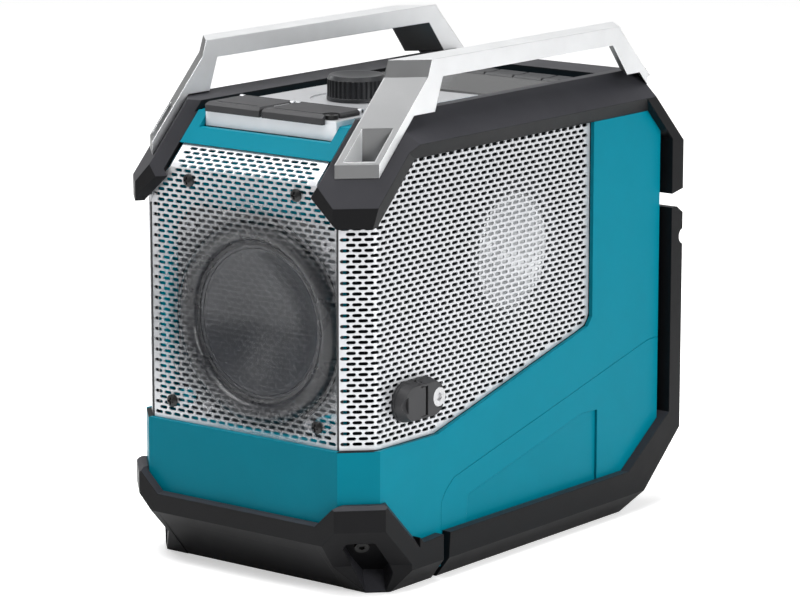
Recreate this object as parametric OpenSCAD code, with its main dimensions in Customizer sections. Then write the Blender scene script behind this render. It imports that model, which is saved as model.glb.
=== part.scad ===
// Jobsite radio with a wrap-round perforated grille, faceted bumpers and two aluminium handles.
// Origin at the bottom centre: -Y is the subwoofer face, +Y the battery door, +Z the controls.

/* [Body] */
// Width from side grille to side grille
body_w = 160; // [150:1:190]
// Length from the front grille to the nominal rear plane
body_l = 278; // [264:1:320]
// Leg of the 45 degree corner between the front and side grilles
corner_c = 14.5; // [10:0.5:18]
// How far the painted housing stands proud of the grilles
skin = 2.7; // [1.5:0.1:4]
// How far the bumpers stand proud of the grilles
bump = 8.4; // [6:0.1:11]
// Wall thickness of the housings
wall = 3; // [2:0.1:4]
// Set-back of the housing's rear face from the nominal rear plane
rear_set = 7; // [5:0.5:9]
// Gap between pieces that are fitted together
fit_gap = 0.2; // [0.1:0.05:0.4]
// Radial clearance of a pin or shaft in its bore
run_gap = 0.05; // [0.03:0.01:0.09]

/* [Heights] */
// Floor to the lower edge of the front grille
grille_z0 = 80; // [74:1:86]
// Floor to the upper edge of the front grille
grille_z1 = 231.4; // [226:0.2:234]
// Floor to the deck that carries the control panel
deck_z = 247.4; // [246.5:0.1:249]
// Floor to the ridge of the top frame
ridge_z = 254.2; // [253:0.2:257]
// Floor to the top of the handles
handle_z = 282.3; // [276:0.5:292]

/* [Side grille] */
// Distance of the side grille's rear edge from the front plane
side_grille_l = 205; // [190:1:215]
// Height where the sloping lower edge reaches the rear edge
side_grille_z = 116; // [110:1:124]
// Distance of the lower bend from the front plane
side_bend_y = 63; // [50:1:80]
// Thickness of the perforated sheet
sheet = 1.2; // [0.8:0.1:1.6]
// Depth of the recess behind the perforated sheet
pocket = 4; // [3:0.25:6]
// Depth from the front grille to the board that carries the subwoofer
baffle_y = 17; // [14:0.5:22]
// Set-back of the grille's leaning part under the deck's front slope
slope_set = 1.1; // [0.6:0.1:2]
// Length of a slot in the sheet
slot_l = 10; // [7:0.5:12]
// Height of a slot in the sheet
slot_h = 3; // [2:0.25:4]
// Slot spacing along a row
slot_px = 15; // [14:0.5:20]
// Spacing of the rows
slot_pz = 12; // [10:0.5:16]

/* [Seam] */
// Distance of the seam's upright part from the front plane
seam_y = 66; // [60:1:74]
// Height where the seam leaves its upright part
seam_z = 41; // [36:1:46]
// Height of the seam at the rear edge
seam_z1 = 99; // [92:1:106]

/* [Top frame] */
// Distance of the frame's ridge from the middle
ridge_x = 68.6; // [66:0.2:71]
// Distance of the frame's inner edge from the middle
inner_x = 53.7; // [52:0.1:56]
// Height of the ridge over the frame's inner edge
ridge_drop = 2.1; // [1:0.1:4]
// Thickness of the frame over the cut corners
guard_t = 10; // [8:0.5:12]
// Height of the rail's outer edge
rail_z = 240.4; // [238:0.2:243]
// Height of the rail's lower edge
rail_z0 = 227.4; // [224:0.2:230]
// Height of the front guard's lower end
guard_z0 = 199.8; // [196:0.2:204]
// Lower end of the rear posts
post_z0 = 182; // [178:0.5:190]
// Width of the rear posts seen from the side
post_w = 10; // [8:0.5:12]

/* [Bottom bumpers] */
// Height of the front bumper's outer face, upper edge
bumper_z1 = 39; // [36:0.5:40]
// Height of the front bumper's outer face, lower edge
bumper_z0 = 29; // [26:0.5:32]
// Height of the corner's upper edge
corner_z1 = 49.4; // [46:0.2:52]
// Height of the corner's lower crease
corner_z0 = 37.4; // [34:0.2:40]
// Height of the side rail's outer face, upper edge
side_z1 = 25.6; // [23:0.2:28]
// Height of the side rail's outer face, lower edge
side_z0 = 11.5; // [9:0.2:13]
// Gap between the front and rear bumpers
bumper_gap = 4; // [3:0.5:6]

/* [Handles] */
// Width of a handle
handle_w = 16.6; // [14:0.2:17.5]
// Height of the handle's bar
handle_h = 10; // [8:0.5:13]
// Position of the handles' middle behind the body's middle
handle_mid = 8; // [4:0.5:12]
// Length between the outer faces of the legs at the top
handle_l = 172; // [160:1:184]
// Diameter of the handle screws' heads
handle_screw_d = 8; // [6:0.5:9]

/* [Controls] */
// Half width of the silver panel
panel_x = 45.6; // [44:0.2:47]
// Top of the silver panel
panel_z = 250.4; // [249.8:0.1:251]
// Diameter of the volume knob
knob_d = 33; // [28:0.5:36]
// Height of the volume knob
knob_h = 13.6; // [10:0.2:16]
// Distance of the knob from the front plane
knob_y = 96.7; // [92:0.5:102]
// Diameter of the encoder shaft
shaft_d = 6; // [5:0.5:7]
// Number of grip ribs on the knob
knob_ribs = 36; // [24:1:40]
// Travel of a button
button_travel = 0.8; // [0.4:0.1:1]
// Pitch of the buttons
key_pitch = 20.3; // [19:0.1:21]
// Depth of the buttons
button_d = 20; // [16:0.5:22]

/* [Speakers] */
// Outer diameter of the subwoofer's surround
woofer_d = 112; // [104:1:118]
// Height of the subwoofer's middle
woofer_z = 138.4; // [134:0.5:146]
// Diameter of the side speakers' cones
mid_d = 66; // [54:1:72]
// Distance of the side speakers from the front plane
mid_y = 138; // [130:1:146]
// Height of the side speakers
mid_z = 168; // [160:1:176]

/* [Battery door] */
// Width of the battery door
door_w = 132; // [120:1:138]
// Lower edge of the battery door
door_z0 = 52; // [48:1:58]
// Upper edge of the battery door
door_z1 = 172; // [160:1:176]
// Thickness of the battery door
door_t = 9; // [7:0.5:10]
// Diameter of the hinge pins
pin_d = 4; // [3:0.5:5]

/* [Power inlet] */
// Length of the rubber cover
inlet_l = 38; // [34:1:44]
// Height of the rubber cover
inlet_h = 22; // [18:1:26]
// How far the cover stands out of the grille
inlet_t = 8; // [6:0.5:9]
// Distance of the cover's middle from the front plane
inlet_y = 45; // [40:1:52]
// Height of the cover's middle
inlet_z = 102; // [98:1:106]
// Distance of the hinge slit from the front plane
inlet_slit = 47.5; // [44:0.5:54]

/* [Hidden] */

big = 800;
front = -body_l / 2;
rear = body_l / 2;
half = body_w / 2;
tail = rear - rear_set;
s2 = sqrt(2);
s3 = sqrt(3);
teal = [0, 0.45, 0.53];
black = [0.13, 0.13, 0.14];
silver = [0.82, 0.83, 0.84];

// Planes of the 45 degree corner cuts, as |x| - y + z at the front top and |x| + y + z at the rear top
mitre_front = half - front + ridge_z - 46.1;
mitre_rear = half + rear + ridge_z - 25.3;
mitre_low = half - front - 40;
bumper_low = half - front + 2 * bump - grown(corner_c, bump) - corner_z0;
foot_corner = half - front - 25;
slope_front = ridge_z - front - 32.5;
grille_slope = slope_front - slope_set * s2;
bend_z = grille_slope + front;
post_y = rear - 1 - post_w + bump;

// Places on the control panel
panel_y0 = front + 23.4;
lens_y0 = rear - 130.8;
lens_y1 = rear - 67.2;
keys_y0 = lens_y1;
keys_y1 = keys_y0 + button_d;
skirt_z = deck_z - 7.6;
knob_y0 = front + knob_y;
knob_z0 = panel_z - 0.4;
key_top = deck_z + 4.4;
key_end_x = inner_x - 1.3;
cover_y1 = panel_y0 + 27.6;
cover_axis_z = panel_z + 1.7;
cover_pin_d = 1.6;
usb_cover_x0 = -panel_x + 1.6;
usb_cover_x1 = -6;
aux_cover_x0 = -4;
aux_cover_x1 = 41;
cover_gap_x = 5;
usb_x = -24;
aux_x = 12;
socket_y = panel_y0 + 13;
panel_screw_x = 38;

// Boards
board_t = 1.6;
board_z = deck_z - 14.4;
dome_z = board_z + board_t + 3.5;
main_z = 15;

// Power inlet
inlet_jack_y = front + inlet_slit - 12.5;
inlet_screw_y = front + inlet_y + 12.9;
inlet_axis = (2.5 + inlet_t) / 2;
inlet_r = (inlet_t - 2.5) / 2 - 0.05;
inlet_hinge_w = 15.4;

// Battery bay, door and latch
bay_x = door_w / 2 - 8;
bay_z0 = door_z0 + 10;
bay_z1 = door_z1 + 4;
bay_d = 58;
latch_room = 14;
latch_z = bay_z1 - latch_room - 5.5;
latch_d = 9;
latch_l = 10;
latch_gap = 2.8;
hinge_y = tail + 6.4;
hinge_z = door_z0 - 6;
ear_x = 44;

// Handles
leg_t = 4.4;
leg_end = 16.3;
plug_back = 35.3;
plug_wall = 1.8;
plug_z0 = rail_z0;
plug_floor = plug_z0 + 2;

// Subwoofer
flange_w = woofer_d + 4;
baffle_x = flange_w / 2 + 4;

// Leg of a 45 degree corner after its outline has grown by d
function grown(c, d) = c + d * (2 - s2);

// Outline seen from above, grown by d from the grille planes, with its rear edge at y1
module plan(d, y1, c1 = 0) {
    c = grown(corner_c, d);
    x = half + d;
    y = front - d;
    polygon([
        [-x, y + c], [-x + c, y], [x - c, y], [x, y + c],
        [x, y1 - c1], [x - c1, y1], [-x + c1, y1], [-x, y1 - c1]
    ]);
}

// Everything on the far side of a plane with normal n at distance d from the origin
module beyond(n, d) {
    u = n / norm(n);
    turn = acos(u[2]);
    rotate([0, turn, atan2(u[1], u[0])]) translate([-big, -big, d]) cube([2 * big, 2 * big, big]);
}

// A profile in the YZ plane carried along X from x0 to x1
module along_x(x0, x1) {
    translate([x0, 0, 0]) rotate([90, 0, 90]) linear_extrude(x1 - x0) children();
}

// A profile in the XZ plane carried along Y from y0 to y1
module along_y(y0, y1) {
    translate([0, y1, 0]) rotate([90, 0, 0]) linear_extrude(y1 - y0) children();
}

module both_sides() {
    children();
    mirror([1, 0, 0]) children();
}

module bar(p0, p1) {
    translate(p0) cube(p1 - p0);
}

// Outer form of the housings without the bumpers, grown by d
module core(d) {
    rail_n = [ridge_z - rail_z, 0, half + bump - ridge_x];
    rail_d = ((half + bump) * rail_n[0] + rail_z * rail_n[2]) / norm(rail_n);
    difference() {
        translate([0, 0, 6 - d]) linear_extrude(deck_z - 6 + 2 * d) plan(skin + d, tail + d);
        beyond([0, -1, 1], slope_front / s2 + d);
        both_sides() {
            // Seat of the front guards
            intersection() {
                beyond([1, -1, 1], mitre_front / s3 - guard_t + d);
                bar([inner_x - 1 + d, -big, grille_z0], [big, 0, big]);
            }
            beyond(rail_n, rail_d - 5 + d);
            beyond([1, 1, 1], mitre_rear / s3 - 7 + d);
            beyond([1, -1, -1], mitre_low / s3 - 11 + d);
        }
        beyond([0, -1, -1], (-front - 12) / s2 - 6 + d);
        beyond([0, 1, -1], (rear - 34) / s2 - 6 + d);
    }
}

// Side view outline of the side grille, from its front edge
module side_outline(d) {
    z1 = guard_z0 + 36;
    y0 = front - 20;
    polygon([
        [y0, grille_z0 - d], [front + side_bend_y, grille_z0 - d],
        [front + side_grille_l - 4, side_grille_z - d],
        [front + side_grille_l + d, side_grille_z + 5], [front + side_grille_l + d, z1], [y0, z1]
    ]);
}

// Sheet that follows the outline seen from above, between the offsets d0 and d1
module wrap(d0, d1, z0, z1) {
    difference() {
        translate([0, 0, z0]) linear_extrude(z1 - z0) plan(d1, tail + 20);
        translate([0, 0, z0 - 1]) linear_extrude(z1 - z0 + 2) plan(d0, tail + 30);
    }
}

// Room for the grilles in the housing
module grille_pockets() {
    difference() {
        union() {
            both_sides() along_x(-0.1, half + 30) side_outline(fit_gap);
            bar([-half, front - 20, grille_z0 - fit_gap], [half, front + 12, bend_z + 2]);
        }
        linear_extrude(big) plan(-pocket, tail + 30);
    }
    // Recess under the leaning part of the front grille
    intersection() {
        beyond([0, -1, 1], grille_slope / s2 - pocket);
        bar([-inner_x + 1, front - 20, bend_z - 8], [inner_x - 1, front + 40, grille_z1 + fit_gap]);
    }
    bar([-baffle_x, front - 20, woofer_z - flange_w / 2 - fit_gap], [baffle_x, front + baffle_y, bend_z - 3]);
}

// Space inside the housings
module hollow() {
    difference() {
        intersection() {
            core(-wall);
            linear_extrude(big) plan(-pocket - wall, tail - wall);
        }
        bar([-half, front - 1, grille_z0 - wall], [half, front + baffle_y + wall, big]);
    }
}

// Side view outline of everything below and behind the seam, grown by d
module seam_outline(d) {
    y = front + seam_y - d;
    polygon([
        [y, -1], [y, seam_z + d * 0.4], [y + 4, seam_z + 6 + d], [y + 11, seam_z + 12 + d],
        [tail - 10, seam_z1 - 0.8 + d], [tail + 30, seam_z1 + d], [tail + 30, -1]
    ]);
}

module upper_housing() {
    color(teal) difference() {
        union() {
            difference() {
                core(0);
                grille_pockets();
                hollow();
            }
            // Bosses for the grille screws and the control board
            translate([0, front, 0]) grille_screw_places() rotate([-90, 0, 0])
                translate([0, 0, pocket]) cylinder(d = 10, h = baffle_y - pocket + 1, $fn = 32);
            board_screw_places() translate([0, 0, board_z + board_t + 0.1])
                cylinder(d = 8, h = deck_z - wall - board_z - board_t + 0.9, $fn = 32);
        }
        along_x(-half - 20, half + 20) seam_outline(fit_gap / 2);
        // Notch for the front skirt of the panel
        bar([-panel_x - fit_gap, front - 1, skirt_z - fit_gap], [panel_x + fit_gap, panel_y0 + wall, big]);
        deck_openings();
        // Openings for the speakers and the power inlet
        facing_front() translate([0, 0, -20]) cylinder(d = woofer_d + 3, h = 40, $fn = 96);
        facing_front() woofer_screw_places() cylinder(d = 4.4, h = 30, center = true, $fn = 24);
        both_sides() facing_side() translate([0, 0, -20]) cylinder(d = mid_d + 6, h = 30, $fn = 64);
        translate([half - 12, inlet_jack_y, inlet_z]) rotate([0, 90, 0]) cylinder(d = 12, h = 20, $fn = 48);
        translate([half - 12, inlet_screw_y, inlet_z]) rotate([0, 90, 0]) cylinder(d = 4.4, h = 20, $fn = 24);
        translate([0, front, 0]) grille_screw_places() rotate([-90, 0, 0]) cylinder(d = 3.6, h = 12, $fn = 24);
        both_sides() bumper_screw_place() translate([0, 0, -20]) cylinder(d = 4.4, h = 20, $fn = 24);
        bay_opening();
    }
}

// Holes in the deck under the panel, the display and the buttons
module deck_openings() {
    z0 = deck_z - wall - 1;
    translate([usb_x, socket_y, z0]) translate([-9, -5.5, 0]) cube([18, 11, big]);
    translate([aux_x, socket_y, z0]) cylinder(d = 14, h = 20, $fn = 48);
    translate([0, knob_y0, z0]) cylinder(d = 10.6, h = 20, $fn = 48);
    bar([-33, lens_y0 + 9, z0], [33, lens_y1 - 9, big]);
    bar([-inner_x + 1.3, keys_y0 + 1, z0], [inner_x - 1.3, keys_y1 - 1, big]);
    translate([panel_screw_x, panel_y0 + 5.2, z0]) cylinder(d = 3.6, h = 20, $fn = 24);
}

module bay_opening() {
    bar([-bay_x, tail - wall - 1, bay_z0], [bay_x, big, bay_z1 - latch_room]);
}

module board_screw_places() {
    for (x = [-44, 44], y = [panel_y0 + 14, keys_y0 - 8]) translate([x, y, 0]) children();
}

// Front speaker's own frame: Z points out of the front, zero on the face of its flange
module facing_front() {
    translate([0, front + baffle_y - 3.5, woofer_z]) rotate([90, 0, 0]) children();
}

// Side speaker's own frame: Z points out of the side, zero on the face of its flange
module facing_side() {
    translate([half - pocket + 1.6, front + mid_y, mid_z]) rotate([0, 90, 0]) children();
}

// Side view of the shallow embossed field on the lower housing
module emboss_outline() {
    y = front + 88;
    polygon([
        [y, 25], [y + 2, 41], [y + 108, 66.5], [y + 123, 66], [y + 123, 25]
    ]);
}

module lower_housing() {
    color(teal) difference() {
        union() {
            difference() {
                intersection() {
                    core(0);
                    along_x(-half - 20, half + 20) seam_outline(-fit_gap / 2);
                }
                hollow();
            }
            // Bosses under the main board
            main_board_places() translate([0, 0, 6]) cylinder(d = 8, h = main_z - 6.1, $fn = 32);
            // Ears for the door's hinge pins
            both_sides() for (x = [ear_x - 9, ear_x + 4.3]) hull() {
                bar([x, tail - 0.5, hinge_z - 8], [x + 4.7, tail, hinge_z + 4]);
                translate([x, hinge_y, hinge_z]) rotate([0, 90, 0]) cylinder(r = 4, h = 4.7, $fn = 32);
            }
        }
        both_sides() along_x(half + skin - 1.6, half + 20) emboss_outline();
        bay_opening();
        both_sides() translate([ear_x - 20, hinge_y, hinge_z]) rotate([0, 90, 0])
            cylinder(d = pin_d + 2 * run_gap, h = 40, $fn = 32);
        main_board_places() translate([0, 0, 7]) cylinder(d = 2.6, h = 40, $fn = 24);
    }
}

module main_board_places() {
    for (x = [-50, 50], y = [-48, 48]) translate([x, y, 0]) children();
}

// Rows of slots in the plane of the front grille
module slots(x0, x1, z0, z1) {
    rows = floor((z1 - z0) / slot_pz);
    cols = floor((x1 - x0) / slot_px);
    for (r = [0:rows - 1], c = [0:cols - 1 - r % 2]) {
        x = x0 + (x1 - x0 - cols * slot_px) / 2 + (c + 0.5 + (r % 2) / 2) * slot_px;
        z = z0 + (r + 0.5) * slot_pz + (z1 - z0 - rows * slot_pz) / 2;
        translate([x - slot_l / 2, -10, z - slot_h / 2]) cube([slot_l, 30, slot_h]);
    }
}

module front_grille() {
    x = half - corner_c - 1;
    lean = grille_z1 - bend_z;
    bend_in = sheet * (s2 - 1);
    color(silver) difference() {
        union() {
            difference() {
                bar([-x, front, grille_z0], [x, front + pocket - 0.1, bend_z - 3]);
                bar([-x + sheet, front + sheet, grille_z0 + sheet], [x - sheet, front + 20, big]);
            }
            // Sheet that bends back under the deck
            along_x(-x, x) polygon([
                [front, bend_z - 3.1], [front, bend_z], [front + lean, grille_z1], [front + lean + sheet * s2, grille_z1],
                [front + sheet, bend_z - bend_in], [front + sheet, bend_z - 3.1]
            ]);
        }
        both_sides() beyond([1, -1, 1], mitre_front / s3 - guard_t);
        translate([0, front, 0]) slots(-x + 6, x - 6, grille_z0 + 4, grille_z1 - 4);
        translate([0, front, 0]) grille_screw_places() rotate([-90, 0, 0]) cylinder(d = 4, h = 20, center = true, $fn = 32);
    }
}

module grille_screw_places() {
    for (x = [-1, 1]) {
        translate([37.5 * x, 0, bend_z - 6.6]) children();
        translate([51 * x, 0, grille_z0 + 10.5]) children();
    }
}

module grille_screws() {
    color(black) translate([0, front, 0]) grille_screw_places() {
        rotate([90, 0, 0]) cylinder(d = 7, h = 2.4, $fn = 32);
        rotate([-90, 0, 0]) cylinder(d = 3.4, h = pocket - 0.1, $fn = 24);
    }
}

module side_grille() {
    c = corner_c;
    color(silver) difference() {
        intersection() {
            wrap(-sheet, 0, grille_z0, grille_z1 + 10);
            along_x(0, half + 1) side_outline(0);
            bar([half - c + 0.2, front - 1, grille_z0], [half + 1, big, guard_z0 + 34]);
        }
        beyond([1, -1, 1], mitre_front / s3 - guard_t);
        translate([half, 0, 0]) rotate([0, 0, 90])
            slots(front + c + 4, front + side_bend_y, grille_z0 + 4, rail_z0);
        translate([half, 0, 0]) rotate([0, 0, 90])
            slots(front + side_bend_y + 4, front + side_grille_l - 4, side_grille_z + 4, rail_z0);
    }
}

// Round-ended block standing along Z, long side along its own Y
module obround(l, h, t) {
    linear_extrude(t) {
        translate([0, -(l - h) / 2]) circle(d = h, $fn = 48);
        translate([0, (l - h) / 2]) circle(d = h, $fn = 48);
        translate([-h / 2, -(l - h) / 2]) square([h, l - h]);
    }
}

module side_grille_right() {
    difference() {
        side_grille();
        // Hole for the power inlet
        translate([half - 5, front + inlet_y, inlet_z]) rotate([0, 90, 0]) obround(inlet_l - 4, inlet_h - 4, 20);
    }
}

module side_grille_left() {
    color(silver) mirror([1, 0, 0]) side_grille();
}

module grille_gaskets() {
    color(black) both_sides() bar(
        [half - corner_c - 0.9, front - 0.3, grille_z0], [half - corner_c + 0.1, front + pocket - 0.1, guard_z0 - 1]);
}

// Everything beyond the plane through three points, on the side that cross(b - a, c - a) points to
module past(a, b, c) {
    n = cross(b - a, c - a);
    beyond(n, n * a / norm(n));
}

// Right half of the top frame: rail, front guard and rear post
module frame_half() {
    x1 = half + bump;
    up_n = [ridge_z - rail_z, 0, x1 - ridge_x];
    in_n = [-ridge_drop, 0, ridge_x - inner_x];
    low_n = [rail_z - rail_z0, 0, -bump];
    side_n = [1, 0.235, -0.235];
    // Corners of the guard's front facet, and where its flanks meet on the grille
    crest_x = half - 21.5;
    crest = [crest_x, front - bump, mitre_front - crest_x + front - bump];
    tip = crest + [-4.4, 0, -6.2];
    low = tip + [14.7, 0, -13];
    foot = tip + [-6.2, bump, 0.3];
    difference() {
        // Outline seen from the side
        along_x(inner_x - 12, x1) polygon([
            [front - bump, guard_z0], [front + 20, guard_z0], [front + 51, rail_z0 - 0.5],
            [rear - 33, rail_z0 - 0.5], [rear - 14, rail_z0 - 20], [post_y, post_z0 + 14],
            [post_y, post_z0], [rear + bump, post_z0 + 2],
            [rear + bump, ridge_z + 1], [front - bump, ridge_z + 1]
        ]);
        core(fit_gap);
        // Room for the grilles and what lies behind them
        difference() {
            linear_extrude(rail_z0 + 8) plan(0.3, front + side_grille_l + 1);
            beyond([1, -1, 1], mitre_front / s3 - guard_t + fit_gap);
        }
        bar([0, front + 20, deck_z - 1], [inner_x, big, big]);
        // Outer faces
        beyond(up_n, (x1 * up_n[0] + rail_z * up_n[2]) / norm(up_n));
        beyond(in_n, (ridge_x * in_n[0] + ridge_z * in_n[2]) / norm(in_n));
        beyond([1, -1, 0], (x1 - front + bump - grown(corner_c, bump)) / s2);
        beyond([1, -1, 1], mitre_front / s3);
        beyond([1, 1, 1], mitre_rear / s3);
        // Lower faces of the rail and of the guard's side
        intersection() {
            bar([0, front - bump - 1, 0], [big, post_y, big]);
            beyond(low_n, (x1 * low_n[0] + rail_z * low_n[2]) / norm(low_n));
            beyond(side_n, (half + 0.235 * (front + 50 - rail_z0)) / norm(side_n));
            beyond([0, -1, -1], -(rear + rail_z0 - 16) / s2);
        }
        // Inner and lower flanks of the guard
        past(tip, crest, tip + [0, 30, 30]);
        past(tip, foot, low);
        // The posts stand clear of the housing
        bar([0, tail - 12, 0], [half - 6, rear + bump + 1, post_z0 + 34]);
    }
}

module top_frame() {
    color(black) difference() {
        union() {
            both_sides() frame_half();
            // Bar across the rear
            difference() {
                bar([-inner_x - 1, tail - 24, deck_z - 12], [inner_x + 1, rear + bump, ridge_z - ridge_drop]);
                core(fit_gap);
                beyond([0, 1, 1], (rear + ridge_z - 6) / s2);
            }
        }
        both_sides() {
            handle_plug(fit_gap);
            front_screw_place() translate([0, 0, -13]) cylinder(d = 4.4, h = 20, $fn = 24);
            rear_screw_place() translate([0, 0, -6.4]) cylinder(d = 4.4, h = 20, $fn = 24);
        }
    }
}

module front_bumper() {
    x1 = half + bump;
    c = grown(corner_c, bump);
    shoulder_n = [6.3, 5.7, 5.7];
    color(black) difference() {
        union() {
            // Front rail
            along_x(-half + 8, half - 8) polygon([
                [front - bump, bumper_z0], [front - bump, bumper_z1], [front, bumper_z1 + 1],
                [front + 40, bumper_z1 + 1], [front + 40, 0], [front + 16.5, 0]
            ]);
            both_sides() {
                // Corner with its sloping shoulders
                intersection() {
                    along_x(-1, x1) polygon([
                        [front - bump, 0], [front - bump, corner_z1 + 2], [front + c / 2 + 8, corner_z1 + 2],
                        [front + c / 2 + 10.2, corner_z1 - 1], [front + 44, side_z1 - 0.8], [front + 61, side_z1],
                        [front + 61, 0]
                    ]);
                    along_y(-big, big) polygon([
                        [55.6, -1], [55.6, bumper_z1], [half + bump - c, corner_z1 + 2], [big, corner_z1 + 2], [big, -1]
                    ]);
                }
            }
        }
        // Bevelled upper edges
        both_sides() beyond([1, -1, 2], ((x1 - front + bump - c) + 2 * corner_z1) / norm([1, -1, 2]));
        core(fit_gap);
        // Sloping bevel on each side shoulder
        both_sides() intersection() {
            beyond(shoulder_n, shoulder_n * [x1, front + 40.2, side_z1 - 3] / norm(shoulder_n));
            bar([half, front - bump, side_z1 - 3], [big, front + 40.5, big]);
        }
        // Corner face and the undercut that leads down to the floor
        both_sides() {
            beyond([1, -1, 0], (x1 - front + bump - c) / s2);
            intersection() {
                beyond([1, -1, -1], bumper_low / s3);
                beyond([1, -1, 0], foot_corner / s2);
            }
            beyond([0, -1, -0.84], (-(front - bump) - 0.84 * bumper_z0) / norm([0, -1, -0.84]));
            beyond([side_z0, 0, -bump], (x1 * side_z0 - side_z0 * bump) / norm([side_z0, 0, -bump]));
        }
        bar([-half + 30, front + 20, -1], [half - 30, front + 62, 30]);
        // Pocket and hole for the screw in each corner
        both_sides() bumper_screw_place() translate([0, 0, -7]) linear_extrude(40) polygon([
            [-8, -9], [-8, 6], [-3, 8.5], [14, 17], [22, 13], [22, 2], [10, -5.2], [-4, -10.8]
        ]);
        both_sides() bumper_screw_place() translate([0, 0, -20]) cylinder(d = 4.4, h = 30, $fn = 24);
    }
}

// Outline of the rear bumper seen from the side
module rear_bumper_outline() {
    y0 = front + 61 + bumper_gap;
    polygon([
        [y0, 0], [y0 + 2, side_z1], [tail - 36, side_z1], [post_y, side_z1 + 28],
        [post_y, post_z0 - 8], [rear + bump - 6, post_z0 - 8], [rear + bump, post_z0 - 12],
        [rear + bump, 43], [rear - 40, 0]
    ]);
}

module rear_bumper() {
    x1 = half + bump;
    color(black) difference() {
        union() {
            both_sides() along_x(half - 10, x1) rear_bumper_outline();
            // Bar across the rear below the door
            intersection() {
                along_x(-half, half) rear_bumper_outline();
                bar([-half, rear - 46, 0], [half, rear + bump, door_z0 - 18]);
            }
        }
        core(fit_gap);
        both_sides() beyond([side_z0, 0, -bump], (x1 * side_z0 - side_z0 * bump) / norm([side_z0, 0, -bump]));
        // Half-round finger notch near the top of each upright
        both_sides() translate([half - 20, rear + bump + 1, post_z0 - 26]) rotate([0, 90, 0])
            cylinder(d = 9, h = 40, $fn = 32);
    }
}

// Front half of a handle: its leg lies on the corner face x - y + z = mitre and ends at x - y = foot
module handle_half(mitre, foot, rise) {
    lean = [1, -1, rise];
    riser = half - handle_mid + handle_l / 2 + rise * handle_z;
    leg = mitre + leg_t * s3;
    difference() {
        bar([half - handle_w, front - fit_gap, 150], [half, handle_mid, handle_z]);
        beyond([1, -1, 0], foot / s2);
        intersection() {
            beyond([1, -1, 1], leg / s3);
            beyond(lean, riser / norm(lean));
        }
        difference() {
            bar([0, -big, 0], [big, big, handle_z - handle_h]);
            beyond(lean, riser / norm(lean) - handle_h * 0.9);
            beyond([1, -1, 1], mitre / s3 + fit_gap);
        }
        // The corner face itself
        difference() {
            bar([-big, -big, -big], [big, big, ridge_z]);
            beyond([1, -1, 1], mitre / s3 + fit_gap);
        }
    }
}

module handle() {
    difference() {
        union() {
            difference() {
                union() {
                    handle_half(mitre_front, half - front - leg_end, 0.375);
                    translate([0, 2 * handle_mid, 0]) mirror([0, 1, 0])
                        handle_half(mitre_rear - 2 * handle_mid, half - front - leg_end - 16.8, 0.8);
                }
                frame_envelope(fit_gap);
            }
            handle_plug(0);
        }
        // Pocket over the front screw
        difference() {
            bar([half - handle_w + 0.8 + plug_wall, front, plug_floor], [half - 0.6 - plug_wall, 0, big]);
            beyond([1, -1, 0], (half - front - leg_end - 1.6) / s2);
            beyond([-1, 1, 0], -(half - front - plug_back + plug_wall) / s2);
        }
        front_screw_place() translate([0, 0, -5]) cylinder(d = 4.4, h = 10, $fn = 24);
        rear_screw_place() cylinder(d = 4.4, h = 10, $fn = 24);
        rear_screw_place() translate([0, 0, 2.4]) cylinder(d = handle_screw_d + 1, h = 30, $fn = 32);
    }
}

// Foot of the front leg, sunk into the top frame, grown by d
module handle_plug(d) {
    difference() {
        bar([half - handle_w + 0.8 - d, front, plug_z0 - d], [half - 0.6 + d, 0, ridge_z + 1]);
        beyond([1, -1, 0], (half - front - leg_end) / s2 + d);
        beyond([-1, 1, 0], -(half - front - plug_back) / s2 + d);
        beyond([-1, 1, -1], -(mitre_front / s3 - guard_t + 2) + d);
        beyond([1, -1, 1], mitre_front / s3 + leg_t);
    }
}

// Space taken by the top frame, grown by d, used to seat the handles
module frame_envelope(d) {
    x1 = half + bump;
    up_n = [ridge_z - rail_z, 0, x1 - ridge_x];
    difference() {
        bar([0, front - bump, 0], [x1 + d, rear + bump, ridge_z + d]);
        beyond(up_n, (x1 * up_n[0] + rail_z * up_n[2]) / norm(up_n) + d);
        beyond([1, -1, 1], mitre_front / s3 + d);
        beyond([1, 1, 1], mitre_rear / s3 + d);
    }
}

// Place of the right handle's front screw, upright on the floor of its pocket
module front_screw_place() {
    translate([half - 8.5, front + 16, plug_floor]) children();
}

// Place of the right handle's rear screw, with Z square to the rear corner face
module rear_screw_place() {
    x = half - 9.5;
    y = 2 * handle_mid - front - 28;
    translate([x, y, mitre_rear - y - x]) rotate([0, acos(1 / s3), 45]) children();
}

module handle_right() {
    color(silver) handle();
}

module handle_left() {
    color(silver) mirror([1, 0, 0]) handle();
}

module handle_screws() {
    color("dimgray") both_sides() {
        front_screw_place() handle_screw(11.4);
        rear_screw_place() translate([0, 0, 2.4]) handle_screw(8.4);
    }
}

// Socket screw standing on its seat, with a shaft of length l
module handle_screw(l) {
    difference() {
        translate([0, 0, 0.1]) cylinder(d = handle_screw_d, h = 2.6, $fn = 32);
        translate([0, 0, 1.2]) cylinder(d = 4, h = 3, $fn = 6);
    }
    translate([0, 0, -l]) cylinder(d = 4, h = l + 0.2, $fn = 24);
}

module bumper_screws() {
    color("dimgray") both_sides() bumper_screw_place() difference() {
        union() {
            translate([0, 0, -6.9]) cylinder(d = 8, h = 3, $fn = 32);
            translate([0, 0, -17]) cylinder(d = 4, h = 10.2, $fn = 24);
        }
        translate([0, 0, -5.4]) cylinder(d = 3.6, h = 3, $fn = 6);
    }
}

// Place of the screw in the right corner's lower face, with Z square to that face
module bumper_screw_place() {
    x = half - 6.6;
    y = front + 10.1;
    translate([x, y, x - y - bumper_low]) rotate([0, 180 - acos(1 / s3), -45]) children();
}

// ---- Control panel ----

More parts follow.
